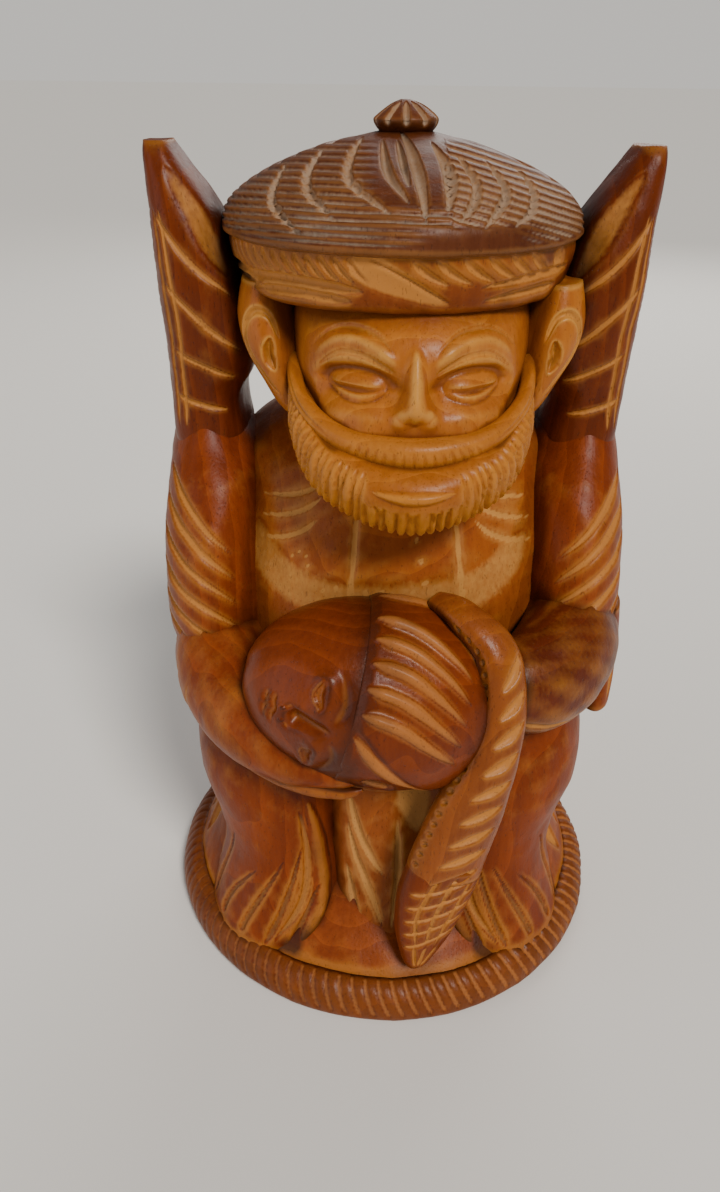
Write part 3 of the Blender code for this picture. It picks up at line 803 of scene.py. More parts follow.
def swept_band(stations, centre, spacing, fullness=1.0):
    """A band along a path: x, y, z, half width, half thickness; its face looks away from the centre.

    A fullness below 1 squares the section.
    """
    rows = evenly_spaced(smooth_rows(stations, 12), 3, spacing, 6)
    along = unit(np.gradient(rows[:, :3], axis=0))
    outward = rows[:, :3] - np.asarray(centre, float)
    outward = unit(outward - along * (outward * along).sum(1, keepdims=True))
    side = np.cross(outward, along)
    around = max(int(math.tau * rows[:, 3:5].max() / spacing * 0.8), 20)
    turn = np.arange(around) * math.tau / around
    wide = np.sign(np.cos(turn)) * np.abs(np.cos(turn)) ** fullness
    thick = np.sign(np.sin(turn)) * np.abs(np.sin(turn)) ** fullness
    rings = rows[:, None, :3] + side[:, None] * (rows[:, 3, None] * wide)[..., None]
    rings = rings + outward[:, None] * (rows[:, 4, None] * thick)[..., None]
    band = Blank(rings)
    band.lines = (rows, side, outward)
    return band


def on_band(band, along, across):
    """A point on a band's face: share of its length, and from -1 at one edge to 1 at the other."""
    rows, side, outward = band.lines
    k = min(max(along, 0.0), 1.0) * (len(rows) - 1)
    low = int(min(k, len(rows) - 2))
    part = k - low
    row, edge, face = (grid[low] * (1 - part) + grid[low + 1] * part for grid in (rows, side, outward))
    rise = math.sqrt(max(1 - across ** 2, 0))
    return row[:3] + edge * row[3] * across + face * row[4] * rise


SPINE = (0.0, 0.0, 45.0)
right_forearm = swept_band([
    (-22.6, -3.0, 47.4, 7.6, 5.8), (-21.6, -11.0, 43.8, 7.4, 6.3), (-17.2, -18.0, 41.3, 6.2, 6.2),
    (-11.2, -23.0, 39.5, 4.3, 4.6), (-6.0, -25.8, 38.6, 2.0, 2.1), (-3.0, -26.6, 38.4, 0.4, 0.4)], SPINE,
                           spacing=0.3)
for k in range(3):
    crease = [on_band(right_forearm, 0.16 + 0.09 * k, u) for u in (-0.75, -0.2, 0.35)]
    right_forearm.stroke(crease, width=1.2, depth=0.35, shape="gouge", ends=(0.3, 0.6))
right_forearm.hand_work(amount=0.12, seed=12)
right_forearm.finish("right_forearm_sleeve", "right_forearm", "oiled_body", BODY_WOOD)

cuff = swept_band([
    (-25.6, -7.6, 38.4, 0.9, 0.9), (-24.0, -12.4, 36.9, 1.2, 1.2), (-20.2, -17.4, 35.8, 1.4, 1.4),
    (-13.0, -23.6, 35.6, 1.4, 1.3), (-6.4, -26.9, 36.4, 0.9, 0.9), (-3.6, -27.4, 37.2, 0.2, 0.2)], SPINE,
                  spacing=0.2)
cuff.hand_work(amount=0.08, seed=13)
cuff.finish("rolled_hem", "right_cuff", "oiled_body", BODY_WOOD)

left_forearm = swept_band([
    (23.4, -3.4, 50.8, 7.4, 5.5), (22.4, -11.0, 47.9, 7.5, 6.3), (18.2, -17.4, 46.9, 6.9, 5.9),
    (13.2, -21.0, 47.8, 5.5, 4.5), (9.8, -21.8, 49.4, 3.4, 2.8)], SPINE, spacing=0.3)
left_forearm.stroke([on_band(left_forearm, t, 0.86 - 0.3 * t) for t in (0.3, 0.6, 0.9)],
                    width=1.3, depth=0.45)
left_forearm.hand_work(amount=0.14, seed=14)
FOREARM_WOOD = wood(
    "dark_forearm", dark=(0.060, 0.008, 0.002), light=(0.15, 0.025, 0.003), bare=BARE,
    corner=(0.02, 0.004, 0.001), gloss=0.36)
left_forearm.finish("left_forearm_sleeve", "left_forearm", "dark_edge", FOREARM_WOOD)

drop = oval_stack([
    (37.2, 27.3, -7.6, 1.3, 3.3), (37.5, 27.3, -7.6, 2.0, 4.2), (39.0, 27.4, -7.6, 2.3, 4.5),
    (46.0, 27.4, -7.0, 2.4, 4.7), (52.0, 27.2, -5.8, 2.4, 4.6)], spacing=0.24)
drop.stroke([(25.6, -11.4, 51), (25.4, -11.8, 44), (25.5, -11.6, 38)],
            width=1.3, depth=0.6, shape="gouge", ends=(0.1, 0.1), mark=0.2)
drop.stroke([(28.6, -11.0, 51), (28.8, -11.4, 45), (28.7, -11.4, 39)], width=0.9, depth=0.3)
drop.hand_work(amount=0.08, seed=15)
drop.finish("hanging_sleeve_end", "left_sleeve_drop", "oiled_body", BODY_WOOD)

# ---------------------------------------------------------------- Neck
# A short column left between the coat and the head, mostly hidden by the beard. Three shallow gouge
# rings show the skin folds behind.

neck = oval_stack([(69.0, 0.7, 0.5, 9.0, 9.0), (74.0, 0.9, 0.5, 8.3, 8.3), (79.6, 1.1, 0.5, 8.6, 8.6)],
                  spacing=0.4)
for k in range(3):
    ring = [(9.4 * math.sin(math.radians(t)), 0.5 + 9.4 * math.cos(math.radians(t)), 73.5 + 1.7 * k)
            for t in (-60, -30, 0, 30, 60)]
    neck.stroke(ring, width=1.0, depth=0.4)
neck.finish("neck_folds", "neck", "oiled_body", BODY_WOOD)

# ---------------------------------------------------------------- Head and face
# The head leans forward out of the block. The face is a calm one of even proportions: eyes halfway
# between hat and chin, half closed under arched brows, and a straight nose over the moustache.

HEAD_X = 1.1
HEAD = [
    (70.6, HEAD_X, -13.0, 4.4, 5.8), (72.6, HEAD_X, -11.6, 7.8, 9.6), (75.5, HEAD_X, -9.8, 10.3, 11.9),
    (79.0, HEAD_X, -8.0, 11.9, 13.5), (83.0, HEAD_X, -6.2, 12.9, 14.6), (87.0, HEAD_X, -4.8, 13.2, 14.8),
    (89.6, HEAD_X, -3.4, 13.2, 14.0), (91.6, HEAD_X, -2.6, 13.0, 13.0)]
EYE_HEIGHT = 83.1
EYE_APART = 5.9


def on_face(x, z):
    """The point on the front of the head at a distance to the side of its middle line."""
    heights, _, *columns = np.array(HEAD).T
    middle, half_x, half_y = (np.interp(z, heights, column) for column in columns)
    return (HEAD_X + x, middle - half_y * math.sqrt(1 - min(abs(x) / half_x, 0.99) ** 2), z)


CREASE_DEPTH = 0.34
CREASE_WIDTH = 0.42
SLIT_DEPTH = 0.42
SLIT_WIDTH = 0.3


def carve_lid(blank, centre, length, height):
    """A lowered eyelid: an almond dome with a crease round its top and a slit along its foot."""
    away = blank.points - np.asarray(centre)
    u, v = away[:, 0] / length, away[:, 2] / height
    reach = np.sqrt(u ** 2 + v ** 2)
    dome = np.clip(1 - reach ** 2, 0, 1) ** 0.8
    crease = np.exp(-((reach - 1.15) * height / CREASE_WIDTH) ** 2) * np.clip(v * 2 + 0.6, 0, 1)
    slit = np.exp(-((v + 0.5 * (1 - u ** 2)) * height / SLIT_WIDTH) ** 2) * np.clip(1 - u ** 2, 0, 1)
    on_front = np.abs(away[:, 1]) < 6
    rise = (dome - CREASE_DEPTH * crease - SLIT_DEPTH * slit) * on_front
    blank.points = blank.points + blank.normals * rise[:, None]
    blank.find_normals()


head = oval_stack(HEAD, spacing=0.18)
for side in (-1, 1):
    socket = [on_face(side * x, z) for x, z in ((3.2, 83.2), (5.8, 83.5), (8.6, 83.0))]
    head.stroke(socket, width=6.4, depth=1.25, shape="round", ends=(0.0, 0.0), mark=0.0)
    brow = [on_face(side * x, z) for x, z in ((1.9, 85.4), (4.4, 87.2), (7.6, 87.4), (10.4, 85.2))]
    head.stroke(brow, width=1.9, depth=-0.45, shape="round", ends=(0.15, 0.5))
    cheek = [on_face(side * x, z) for x, z in ((5.6, 79.2), (8.0, 80.0))]
    head.stroke(cheek, width=7.5, depth=-0.7, shape="round", ends=(0.0, 0.0))
head.stroke([on_face(0, z) for z in (87.2, 84.6, 82.4, 80.4)],
            width=4.2, depth=-1.6, shape="round", ends=(0.9, 0.1))
head.settle()
head.soften(4)
head.stroke([on_face(0, 81.2), on_face(0, 80.4)], width=2.6, depth=-0.3, shape="round", ends=(0.2, 0.2))
for side in (-1, 1):
    wing = [on_face(side * 1.1, 80.6), on_face(side * 1.4, 80.4)]
    head.stroke(wing, width=2.8, depth=-0.5, shape="round", ends=(0.0, 0.0))
head.settle()
head.soften(4)
for side in (-1, 1):
    carve_lid(head, on_face(side * EYE_APART, EYE_HEIGHT), length=3.0, height=1.45)
    under = [on_face(side * x, z) for x, z in ((2.2, 84.4), (4.6, 86.0), (7.6, 86.2), (10.0, 84.4))]
    head.stroke(under, width=0.8, depth=0.22, shape="gouge", ends=(0.2, 0.4), mark=0.5)
    above = [on_face(side * x, z) for x, z in ((2.0, 86.5), (4.4, 88.3), (7.6, 88.4), (10.6, 86.0))]
    head.stroke(above, width=0.6, depth=0.2, shape="gouge", ends=(0.3, 0.5), mark=0.4)
for k in range(9):
    turn = math.radians(-64 + 16 * k)
    nape = ((13.6, 89), (13.4, 84), (12.0, 78.6))
    strand = [(HEAD_X + r * math.sin(turn), -6 + 1.05 * r * math.cos(turn), z) for r, z in nape]
    head.stroke(strand, width=1.6, depth=0.55, shape="gouge", ends=(0.2, 0.4))
head.hand_work(amount=0.05, seed=16)
FACE_WOOD = wood(
    "golden_face", dark=(0.26, 0.058, 0.006), light=(0.54, 0.190, 0.022), bare=(0.60, 0.29, 0.058),
    corner=(0.10, 0.018, 0.002), cut=0.55, rub_and_highlight=0.75, dust=0.0, gloss=0.36, coat=0.08, corner_shading=0.62)
head.finish("face_and_nape", "head", "golden_face", FACE_WOOD)

# ---------------------------------------------------------------- Ears
# Long ears stand out under the hat, hollowed with a small gouge inside the rim.

EAR = [
    (77.0, -11.8, -8.9, 0.5, 0.9), (78.2, -12.1, -8.4, 1.6, 2.4), (80.4, -12.8, -7.4, 2.4, 3.8),
    (84.2, -14.2, -6.2, 3.2, 5.0), (87.6, -14.8, -5.4, 3.4, 5.2), (91.4, -14.8, -4.8, 2.8, 4.4)]
for side, word in ((1, "right"), (-1, "left")):
    middle = 0.0 if side > 0 else 2 * HEAD_X
    ear = oval_stack([(z, middle + side * x, y, half_x, half_y) for z, x, y, half_x, half_y in EAR],
                     spacing=0.15)
    rim = [(-13.0, -10.9, 85.8), (-14.0, -10.8, 88.2), (-16.0, -9.6, 88.4), (-16.8, -9.0, 85.6),
           (-15.2, -10.4, 82.0), (-13.2, -10.8, 80.0)]
    ear.stroke([(middle + side * x, y, z) for x, y, z in rim],
               width=0.9, depth=0.55, shape="gouge", ends=(0.3, 0.4))
    bowl = [(-14.2, -10.8, 86.0), (-14.4, -11.0, 84.2), (-13.8, -11.2, 82.6)]
    ear.stroke([(middle + side * x, y, z) for x, y, z in bowl],
               width=1.7, depth=0.9, shape="round", ends=(0.3, 0.3), mark=0.5)
    ear.hand_work(amount=0.05, seed=20 + side)
    ear.finish(word + "_ear_shell", word + "_ear", "golden_face", FACE_WOOD)

# ---------------------------------------------------------------- Moustache and beard
# The moustache is one smooth band from ear to ear. The beard below it is cut into strands with a
# veiner, and the cuts run out over the lower edge, which leaves it scalloped.


def jaw_band(half, spacing, fullness):
    """A band along the jaw: one half of its stations, far end first, and their mirror image."""
    near = [(HEAD_X - x, y, z, width, thick) for x, y, z, width, thick in half]
    far = [(HEAD_X + x, y, z, width, thick) for x, y, z, width, thick in half[-2::-1]]
    return swept_band(near + far, (HEAD_X, -6.0, 82.0), spacing=spacing, fullness=fullness)


BEARD_WOOD = wood(
    "golden_beard", dark=(0.24, 0.056, 0.005), light=(0.50, 0.165, 0.017), bare=(0.54, 0.215, 0.032),
    corner=(0.05, 0.010, 0.002), cut=0.4, rub_and_highlight=0.7, dust=0.0, gloss=0.38, coat=0.06, corner_shading=0.6)
beard = jaw_band([(12.4, -9.4, 81.6, 1.4, 1.1), (11.2, -14.8, 77.7, 2.6, 2.0), (7.6, -19.2, 74.0, 3.6, 2.8),
                  (0.0, -21.6, 72.1, 4.3, 3.2)], spacing=0.2, fullness=0.72)
STRANDS = 46
for k in range(STRANDS):
    t = 0.04 + 0.92 * (k + 0.5) / STRANDS
    bend = 0.006 * math.sin(2.4 * k)
    lean = (t - 0.5) * -0.05
    high = 0.96 if abs(t - 0.5) > 0.1 else 0.42
    strand = [on_band(beard, t, high), on_band(beard, t + bend + lean, 0.1),
              on_band(beard, t + lean * 1.6, -0.6), on_band(beard, t + lean * 1.9, -1.0)]
    beard.stroke(strand,
                 width=0.7, depth=0.6 + 0.15 * math.sin(5.1 * k), shape="vee", ends=(0.2, 0.0), mark=0.9)
lip = [on_band(beard, t, 0.74) for t in (0.42, 0.46, 0.5, 0.54, 0.58)]
beard.stroke(lip, width=1.7, depth=-0.6, shape="round", ends=(0.4, 0.4))
beard.hand_work(amount=0.05, seed=24)
beard.finish("beard_strands", "beard", "golden_face", BEARD_WOOD)

moustache = jaw_band([(13.0, -9.2, 83.6, 0.8, 0.8), (11.7, -15.0, 80.4, 1.0, 0.9),
                      (7.4, -19.8, 78.0, 1.3, 1.2), (0.0, -22.0, 77.2, 1.6, 1.5)],
                     spacing=0.18, fullness=0.85)
for k in range(15):
    t = 0.36 + 0.02 * k
    hair = [on_band(moustache, t, 0.6), on_band(moustache, t + (t - 0.5) * 0.12, -0.5)]
    moustache.stroke(hair, width=0.45, depth=0.16, shape="vee", ends=(0.4, 0.4), mark=0.6)
moustache.stroke([on_band(moustache, t, 0.35) for t in (0.06, 0.18, 0.3)],
                 width=0.6, depth=0.2, shape="vee", ends=(0.4, 0.4), mark=0.6)
moustache.stroke([on_band(moustache, t, 0.35) for t in (0.94, 0.82, 0.7)],
                 width=0.6, depth=0.2, shape="vee", ends=(0.4, 0.4), mark=0.6)
moustache.finish("moustache_band", "moustache", "golden_face", BEARD_WOOD)

# ---------------------------------------------------------------- Hat band
# Cloth wound round the head: slanting knife notches along the upper edge, a flat crossing strip in
# front, and long shallow gouge cuts below that show the golden wood.

HAT_RADIUS = (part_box("hat_crown")[1][0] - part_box("hat_crown")[0][0]) / 2 / MM
BAND_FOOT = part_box("hat_band")[0][2] / MM
band = turned_blank([
    (HAT_RADIUS - 6.4, BAND_FOOT + 0.5), (HAT_RADIUS - 3.4, BAND_FOOT),
    (HAT_RADIUS - 2.1, BAND_FOOT + 0.4), (HAT_RADIUS - 1.5, BAND_FOOT + 1.4),
    (HAT_RADIUS - 1.0, BAND_FOOT + 3.2), (HAT_RADIUS - 0.7, BAND_FOOT + 4.8),
    (HAT_RADIUS - 0.9, BAND_FOOT + 6.4)], spacing=0.19)
for k in range(15):
    turn = -82 + 4.6 * k
    notch = [spot(turn, 95.5, 19.2), spot(turn + 2.6, 94.2, 19.2), spot(turn + 6.6, 92.9, 19.0)]
    band.stroke(notch, width=0.75, depth=0.45, shape="gouge", ends=(0.15, 0.5))
strip = [spot(-16, 95.6, 19.2), spot(-7, 93.8, 19.2), spot(4, 91.9, 20.2), spot(14, 90.4, 19.4)]
band.stroke(strip, width=3.6, depth=0.18, shape="gouge", ends=(0.05, 0.8))
strip_edge = [spot(-12, 95.6, 19.2), spot(0, 93.6, 19.2), spot(14, 90.6, 19.6)]
band.stroke(strip_edge, width=0.7, depth=0.5, shape="vee", ends=(0.1, 0.3), mark=0.0)
for height, start, stop in ((92.1, -62, -13), (90.7, -54, -17)):
    cut = [spot(start, height, 20), spot((start + stop) / 2, height + 0.3, 20), spot(stop, height - 0.1, 20)]
    band.stroke(cut, width=1.45, depth=0.75, shape="gouge", ends=(0.12, 0.2))
for turn, height in ((1, 95.3), (8, 95.4), (16, 95.4), (24, 95.5), (32, 95.5), (40, 95.5)):
    notch = [spot(turn, height, 19.2), spot(turn + 5, height - 1.3, 19.2),
             spot(turn + 12, height - 2.5, 19.1)]
    band.stroke(notch, width=0.95, depth=0.5, shape="gouge", ends=(0.2, 0.6))
band.stroke([spot(52, 95.0, 19.2), spot(59, 93.8, 19.2)],
            width=2.2, depth=0.6, shape="gouge", ends=(0.4, 0.4))
for height, start, stop in ((92.5, 22, 66), (90.8, 24, 58)):
    cut = [spot(start, height - 0.2, 20), spot((start + stop) / 2, height + 0.5, 20),
           spot(stop, height + 0.6, 20)]
    band.stroke(cut, width=1.1, depth=0.6, shape="gouge", ends=(0.45, 0.2))
for k in range(38):
    turn = 74 + 5.0 * k
    notch = [spot(turn, 95.5, 19.2), spot(turn + 3, 94.2, 19.2), spot(turn + 7, 93.0, 19.1)]
    band.stroke(notch, width=0.8, depth=0.45, shape="gouge", ends=(0.15, 0.5))
for start in range(76, 270, 48):
    for height in (92.1, 90.8):
        cut = [spot(start, height, 20), spot(start + 21, height + 0.3, 20), spot(start + 42, height, 20)]
        band.stroke(cut, width=1.3, depth=0.6, shape="gouge", ends=(0.2, 0.3))
band.hand_work(amount=0.08, seed=30)
BAND_WOOD = wood(
    "wound_band", dark=(0.10, 0.016, 0.002), light=(0.30, 0.066, 0.006), bare=BARE,
    corner=(0.022, 0.004, 0.001))
band.finish("wound_band", "hat_band", "oiled_body", BAND_WOOD)

# ---------------------------------------------------------------- Hat crown
# A low straw-woven dome, stained dark. Fine level veiner rows run round it, crossed by curved gouge
# lines; a plain panel with a leaf of long cuts hangs from the tuft in front. Dust fills the cuts.

HAT_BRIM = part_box("hat_crown")[0][2] / MM
CROWN_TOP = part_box("hat_crown")[1][2] / MM
LEAF_LEFT = -3.5
LEAF_RIGHT = 4.0


def rest_of(share):
    """What is left of a whole when a share of it is taken."""
    return share * -1.0 + 1.0


def weave_formula(place, value):
    """Rows of veiner cuts: nearly level on the figure's right, sloping on its left."""
    x, y, z = place
    front = (y * -1.0).between(-2.0, 2.0)
    tipped = z - y.step("ABSOLUTE") * 0.1
    on_left = (x - LEAF_RIGHT).between(-0.05, 0.05)
    slope = on_left * front * 0.22 + 0.03
    row = ((tipped + x * slope) / value["Row Pitch"]).step("FRACT")
    across = (row - 0.5).step("ABSOLUTE") * 2.0 / value["Width"]
    cut = rest_of(across).clamped()
    reach = z.between(HAT_BRIM + 0.3, HAT_BRIM + 0.7) * rest_of(z.between(CROWN_TOP - 0.8, CROWN_TOP - 0.3))
    leaf = x.between(LEAF_LEFT - 1.4, LEAF_LEFT + 0.6)
    leaf = leaf * rest_of(x.between(LEAF_RIGHT - 0.6, LEAF_RIGHT + 0.6))
    plain = leaf * (y * -1.0).between(1.5, 3.0) * z.between(HAT_BRIM + 3.6, HAT_BRIM + 4.2)
    worn = rest_of((z - HAT_BRIM - 2.4).between(-0.3, 0.3)) * (x + 1.0).between(-3.5, 3.5)
    worn = worn * rest_of((x - 13.0).between(-3.0, 3.0)) * (y * -1.0).between(8.0, 9.0)
    return cut * reach * rest_of(plain) * rest_of(worn), value["Depth"]


weave_tree = cutting_tree(
    "crown_weave", [("Row Pitch", 0.72), ("Width", 0.62), ("Depth", 0.34)], weave_formula)
rise = CROWN_TOP - HAT_BRIM
crown = turned_blank([
    (HAT_RADIUS - 1.0, HAT_BRIM - 0.5), (HAT_RADIUS - 0.1, HAT_BRIM - 0.1), (HAT_RADIUS, HAT_BRIM + 0.5),
    (HAT_RADIUS - 0.5, HAT_BRIM + 0.24 * rise), (HAT_RADIUS - 2.6, HAT_BRIM + 0.46 * rise),
    (HAT_RADIUS - 6.4, HAT_BRIM + 0.68 * rise), (HAT_RADIUS - 11.6, HAT_BRIM + 0.88 * rise),
    (HAT_RADIUS - 16.0, HAT_BRIM + 0.99 * rise), (2.0, CROWN_TOP + 0.3)], spacing=0.19)
HAT_WOOD = wood(
    "dark_hat", dark=(0.055, 0.012, 0.004), light=(0.15, 0.038, 0.008), bare=(0.40, 0.175, 0.045),
    corner=(0.02, 0.005, 0.002), cut=0.7, rub_and_highlight=0.3, dust=0.5, gloss=0.42, coat=0.06)
shape_with_nodes(crown, weave_tree, {"Material": HAT_WOOD})
crown.cut_mark *= np.where(crown.points[:, 0] > LEAF_RIGHT, 0.9, 0.5)


def on_crown(x, y):
    """A point over the dome; strokes settle on its surface."""
    radius = math.hypot(x, y) / HAT_RADIUS
    return (x, y, HAT_BRIM + rise * max(1 - radius ** 1.8, 0.02) ** (1 / 1.8))


CRESCENTS = [
    ((-12.5, -4), (-13.5, -11), (-12.5, -14), (-10, -17)),
    ((-8.5, -3), (-10, -9.5), (-9.5, -14), (-6.5, -18)),
    ((-4.5, -2), (-6, -11), (-5, -15), (-1.5, -18.5)),
    ((5, -8.5), (6.5, -13.5), (6, -16.5), (4.5, -18.5)),
    ((8, -8), (9.5, -13), (8.5, -16), (7, -18)),
    ((11, -6), (12.5, -10.5), (12, -14), (10, -16.5))]
for line in CRESCENTS:
    crown.stroke([on_crown(*point) for point in line], width=1.1, depth=0.6, shape="gouge", ends=(0.3, 0.3))
LEAF = [
    ((-2.5, -5), (-2, -13), (0, -17.5), 1.0),
    ((-1, -5.5), (-0.5, -11.5), (0, -15.5), 0.9),
    ((-0.5, -2), (1, -14), (1.5, -19), 1.4),
    ((2.5, -6), (4, -13), (3.5, -18), 1.6)]
for start, middle, stop, width in LEAF:
    crown.stroke([on_crown(*start), on_crown(*middle), on_crown(*stop)],
                 width=width, depth=0.75, shape="gouge", ends=(0.5, 0.35))
for turn in range(104, 260, 13):
    points = (spot(turn, 0, 7.5), spot(turn + 9, 0, 14.5), spot(turn + 7, 0, 20.4))
    crown.stroke([on_crown(x, y) for x, y, _ in points],
                 width=1.2, depth=0.55, shape="gouge", ends=(0.25, 0.3))
crown.hand_work(amount=0.08, seed=31)
crown.finish("woven_crown", "hat_crown", "dark_hat", HAT_WOOD)

finial_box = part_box("hat_finial")
FINIAL_RADIUS = (finial_box[1][0] - finial_box[0][0]) / 2 / MM
FINIAL_TOP = finial_box[1][2] / MM
finial = turned_blank([
    (FINIAL_RADIUS * 0.5, CROWN_TOP - 0.6), (FINIAL_RADIUS * 0.86, CROWN_TOP + 0.3),
    (FINIAL_RADIUS, CROWN_TOP + 1.2), (FINIAL_RADIUS * 0.86, CROWN_TOP + 1.8),
    (FINIAL_RADIUS * 0.5, FINIAL_TOP - 0.5), (FINIAL_RADIUS * 0.14, FINIAL_TOP)], spacing=0.12)
for turn in range(0, 360, 36):
    ray = [spot(turn, FINIAL_TOP - 0.2, 0.9), spot(turn, FINIAL_TOP - 1.0, 2.4),
           spot(turn, CROWN_TOP + 0.6, 3.4)]
    finial.stroke(ray, width=0.8, depth=0.45, shape="gouge", ends=(0.3, 0.1))
finial.hand_work(amount=0.10, seed=32)
finial.finish("carved_tuft", "hat_finial", "dark_hat", HAT_WOOD)

# ---------------------------------------------------------------- Wings
# Two tall blades left from the bark side of the branch. The inner face is veined with knife lines, the
# outer edge is finely notched, and the sawn tips are dark.

WING = [
    (68.5, -22.6, 2.6, 3.0, 6.0), (71.0, -22.9, 3.4, 4.6, 7.8), (76.5, -23.3, 3.6, 4.5, 8.0),
    (80.0, -22.5, 3.0, 5.3, 8.1), (84.0, -22.0, 2.2, 5.7, 8.2), (90.0, -22.7, 1.4, 5.2, 7.8),
    (97.0, -24.1, 1.0, 3.9, 6.3), (102.6, -26.1, 0.6, 2.1, 4.2), (104.4, -26.6, 0.4, 1.5, 2.8)]
SQUARE = 0.72
WING_WOOD = wood(
    "dark_wing", dark=(0.065, 0.008, 0.001), light=(0.20, 0.034, 0.002), bare=BARE,
    corner=(0.014, 0.003, 0.001), rub_and_highlight=0.35)


def on_wing(side, across, height, front=-1):
    """A point on a wing's front or back, from -1 at the outer edge to 1 at the inner one."""
    heights, *columns = np.array(WING).T
    x, y, half_x, half_y = (np.interp(height, heights, column) for column in columns)
    rise = max(1 - abs(across) ** (2 / SQUARE), 0.01) ** (SQUARE / 2)
    return (side * (x + half_x * across), y + front * half_y * rise, height)


for side, word in ((1, "right"), (-1, "left")):
    levels = [(z, side * x, y, half_x, half_y) for z, x, y, half_x, half_y in WING]
    wing = oval_stack(levels, spacing=0.22, fullness=SQUARE)
    for across in (-0.7, -0.5):
        spine = [on_wing(side, across, z) for z in (98.0, 92.0, 86.0, 80.0, 73.5)]
        wing.stroke(spine, width=0.62, depth=0.35, shape="vee", ends=(0.1, 0.1))
    for top, drop in ((97.4, 8.6), (90.4, 7.6), (83.0, 3.4), (77.4, 2.0)):
        vein = [on_wing(side, -0.66, top), on_wing(side, -0.05, top - drop * 0.5),
                on_wing(side, 0.72, top - drop)]
        wing.stroke(vein, width=0.75, depth=0.4, shape="vee", ends=(0.1, 0.35))
    facet = [on_wing(side, 0.2, 102.0), on_wing(side, 0.6, 96.5), on_wing(side, 0.75, 91.0)]
    wing.stroke(facet, width=4.4, depth=0.5, shape="round", ends=(0.5, 0.3), mark=0.5)
    for k in range(27):
        height = 102.6 - 1.15 * k
        notch = [on_wing(side, -0.995, height + 0.3), on_wing(side, -0.86, height - 0.5)]
        wing.stroke(notch, width=0.6, depth=0.35, shape="vee", ends=(0.1, 0.5), mark=0.6)
    for row in range(7):
        for across in (-0.66, -0.1, 0.46):
            height = 99.5 - 4.0 * row - 1.4 * (across > 0)
            feather = [on_wing(side, across - 0.22, height, 1), on_wing(side, across, height - 2.6, 1),
                       on_wing(side, across + 0.22, height, 1)]
            wing.stroke(feather, width=0.75, depth=0.4, shape="vee", ends=(0.3, 0.3))
    wing.hand_work(amount=0.12, seed=40 + side)
    wing.finish(word + "_wing_blade", word + "_wing", "dark_edge", WING_WOOD)

# ---------------------------------------------------------------- Cradled head
# A sleeping head on its side, cut from the same wood and stained deep red. Its face lies towards the
# figure's right hand, under a hairline; the hair is combed back in a few broad gouge cuts.

HELD_CENTRE = (-1.9, -20.0, 46.0)
HELD_LENGTH = 16.4
HELD_WIDTH = 11.7
HELD_TILT = math.radians(12.0)
HAIRLINE = -3.5


def in_held(along, turn, swell=1.0):
    """A point on the cradled head: distance along it towards the crown, and degrees up from its front."""
    share = min(abs(along) / HELD_LENGTH, 1.0)
    radius = HELD_WIDTH * math.sqrt(1.0 - share * share) * swell
    angle = math.radians(turn)
    upward, forward = radius * math.sin(angle), 0.92 * radius * math.cos(angle)
    x = along * math.cos(HELD_TILT) + upward * math.sin(HELD_TILT)
    z = upward * math.cos(HELD_TILT) - along * math.sin(HELD_TILT)
    return np.array([HELD_CENTRE[0] + x, HELD_CENTRE[1] - forward, HELD_CENTRE[2] + z])


def hair_step(along, turn):
    """How far the hair stands proud of the skin: above a line from the brow down behind the ear."""
    edge = 10.0 - 4.6 * (along - HAIRLINE)
    turn = (turn + 120.0) % 360.0 - 120.0
    return 0.6 * min(max((turn - edge) / 5.0, 0.0), 1.0) * min(max((along - HAIRLINE + 0.2) / 1.2, 0.0), 1.0)


def held_blank(start, stop, step, spacing):
    """Rings of the cradled head from one distance along it to another."""
    reach = np.arcsin(np.clip(np.array([start, stop]) / (HELD_LENGTH + 0.05), -1, 1))
    steps = int((reach[1] - reach[0]) * HELD_LENGTH / spacing)
    around = int(math.tau * HELD_WIDTH / spacing)
    rings = []
    for phase in np.linspace(reach[0], reach[1], steps):
        along = HELD_LENGTH * math.sin(phase)
        turns = [360.0 * i / around for i in range(around)]
        size = max(HELD_WIDTH * math.cos(phase), 3.0)
        rings.append([in_held(along, turn, 1.0 + step(along, turn) / size) for turn in turns])
    return Blank(np.array(rings))


HELD_WOOD = wood(
    "red_brown", dark=(0.10, 0.012, 0.001), light=(0.26, 0.046, 0.003), bare=(0.44, 0.15, 0.026),
    corner=(0.016, 0.003, 0.001), cut=0.8, rub_and_highlight=0.5, dust=0.03, gloss=0.34, coat=0.1, corner_shading=0.6)
FACE_MIDDLE = 2


def over_face(points):
    """Points on the sleeping face: distance along the head, and degrees from the face's middle line."""
    return [in_held(along, FACE_MIDDLE + turn) for along, turn in points]


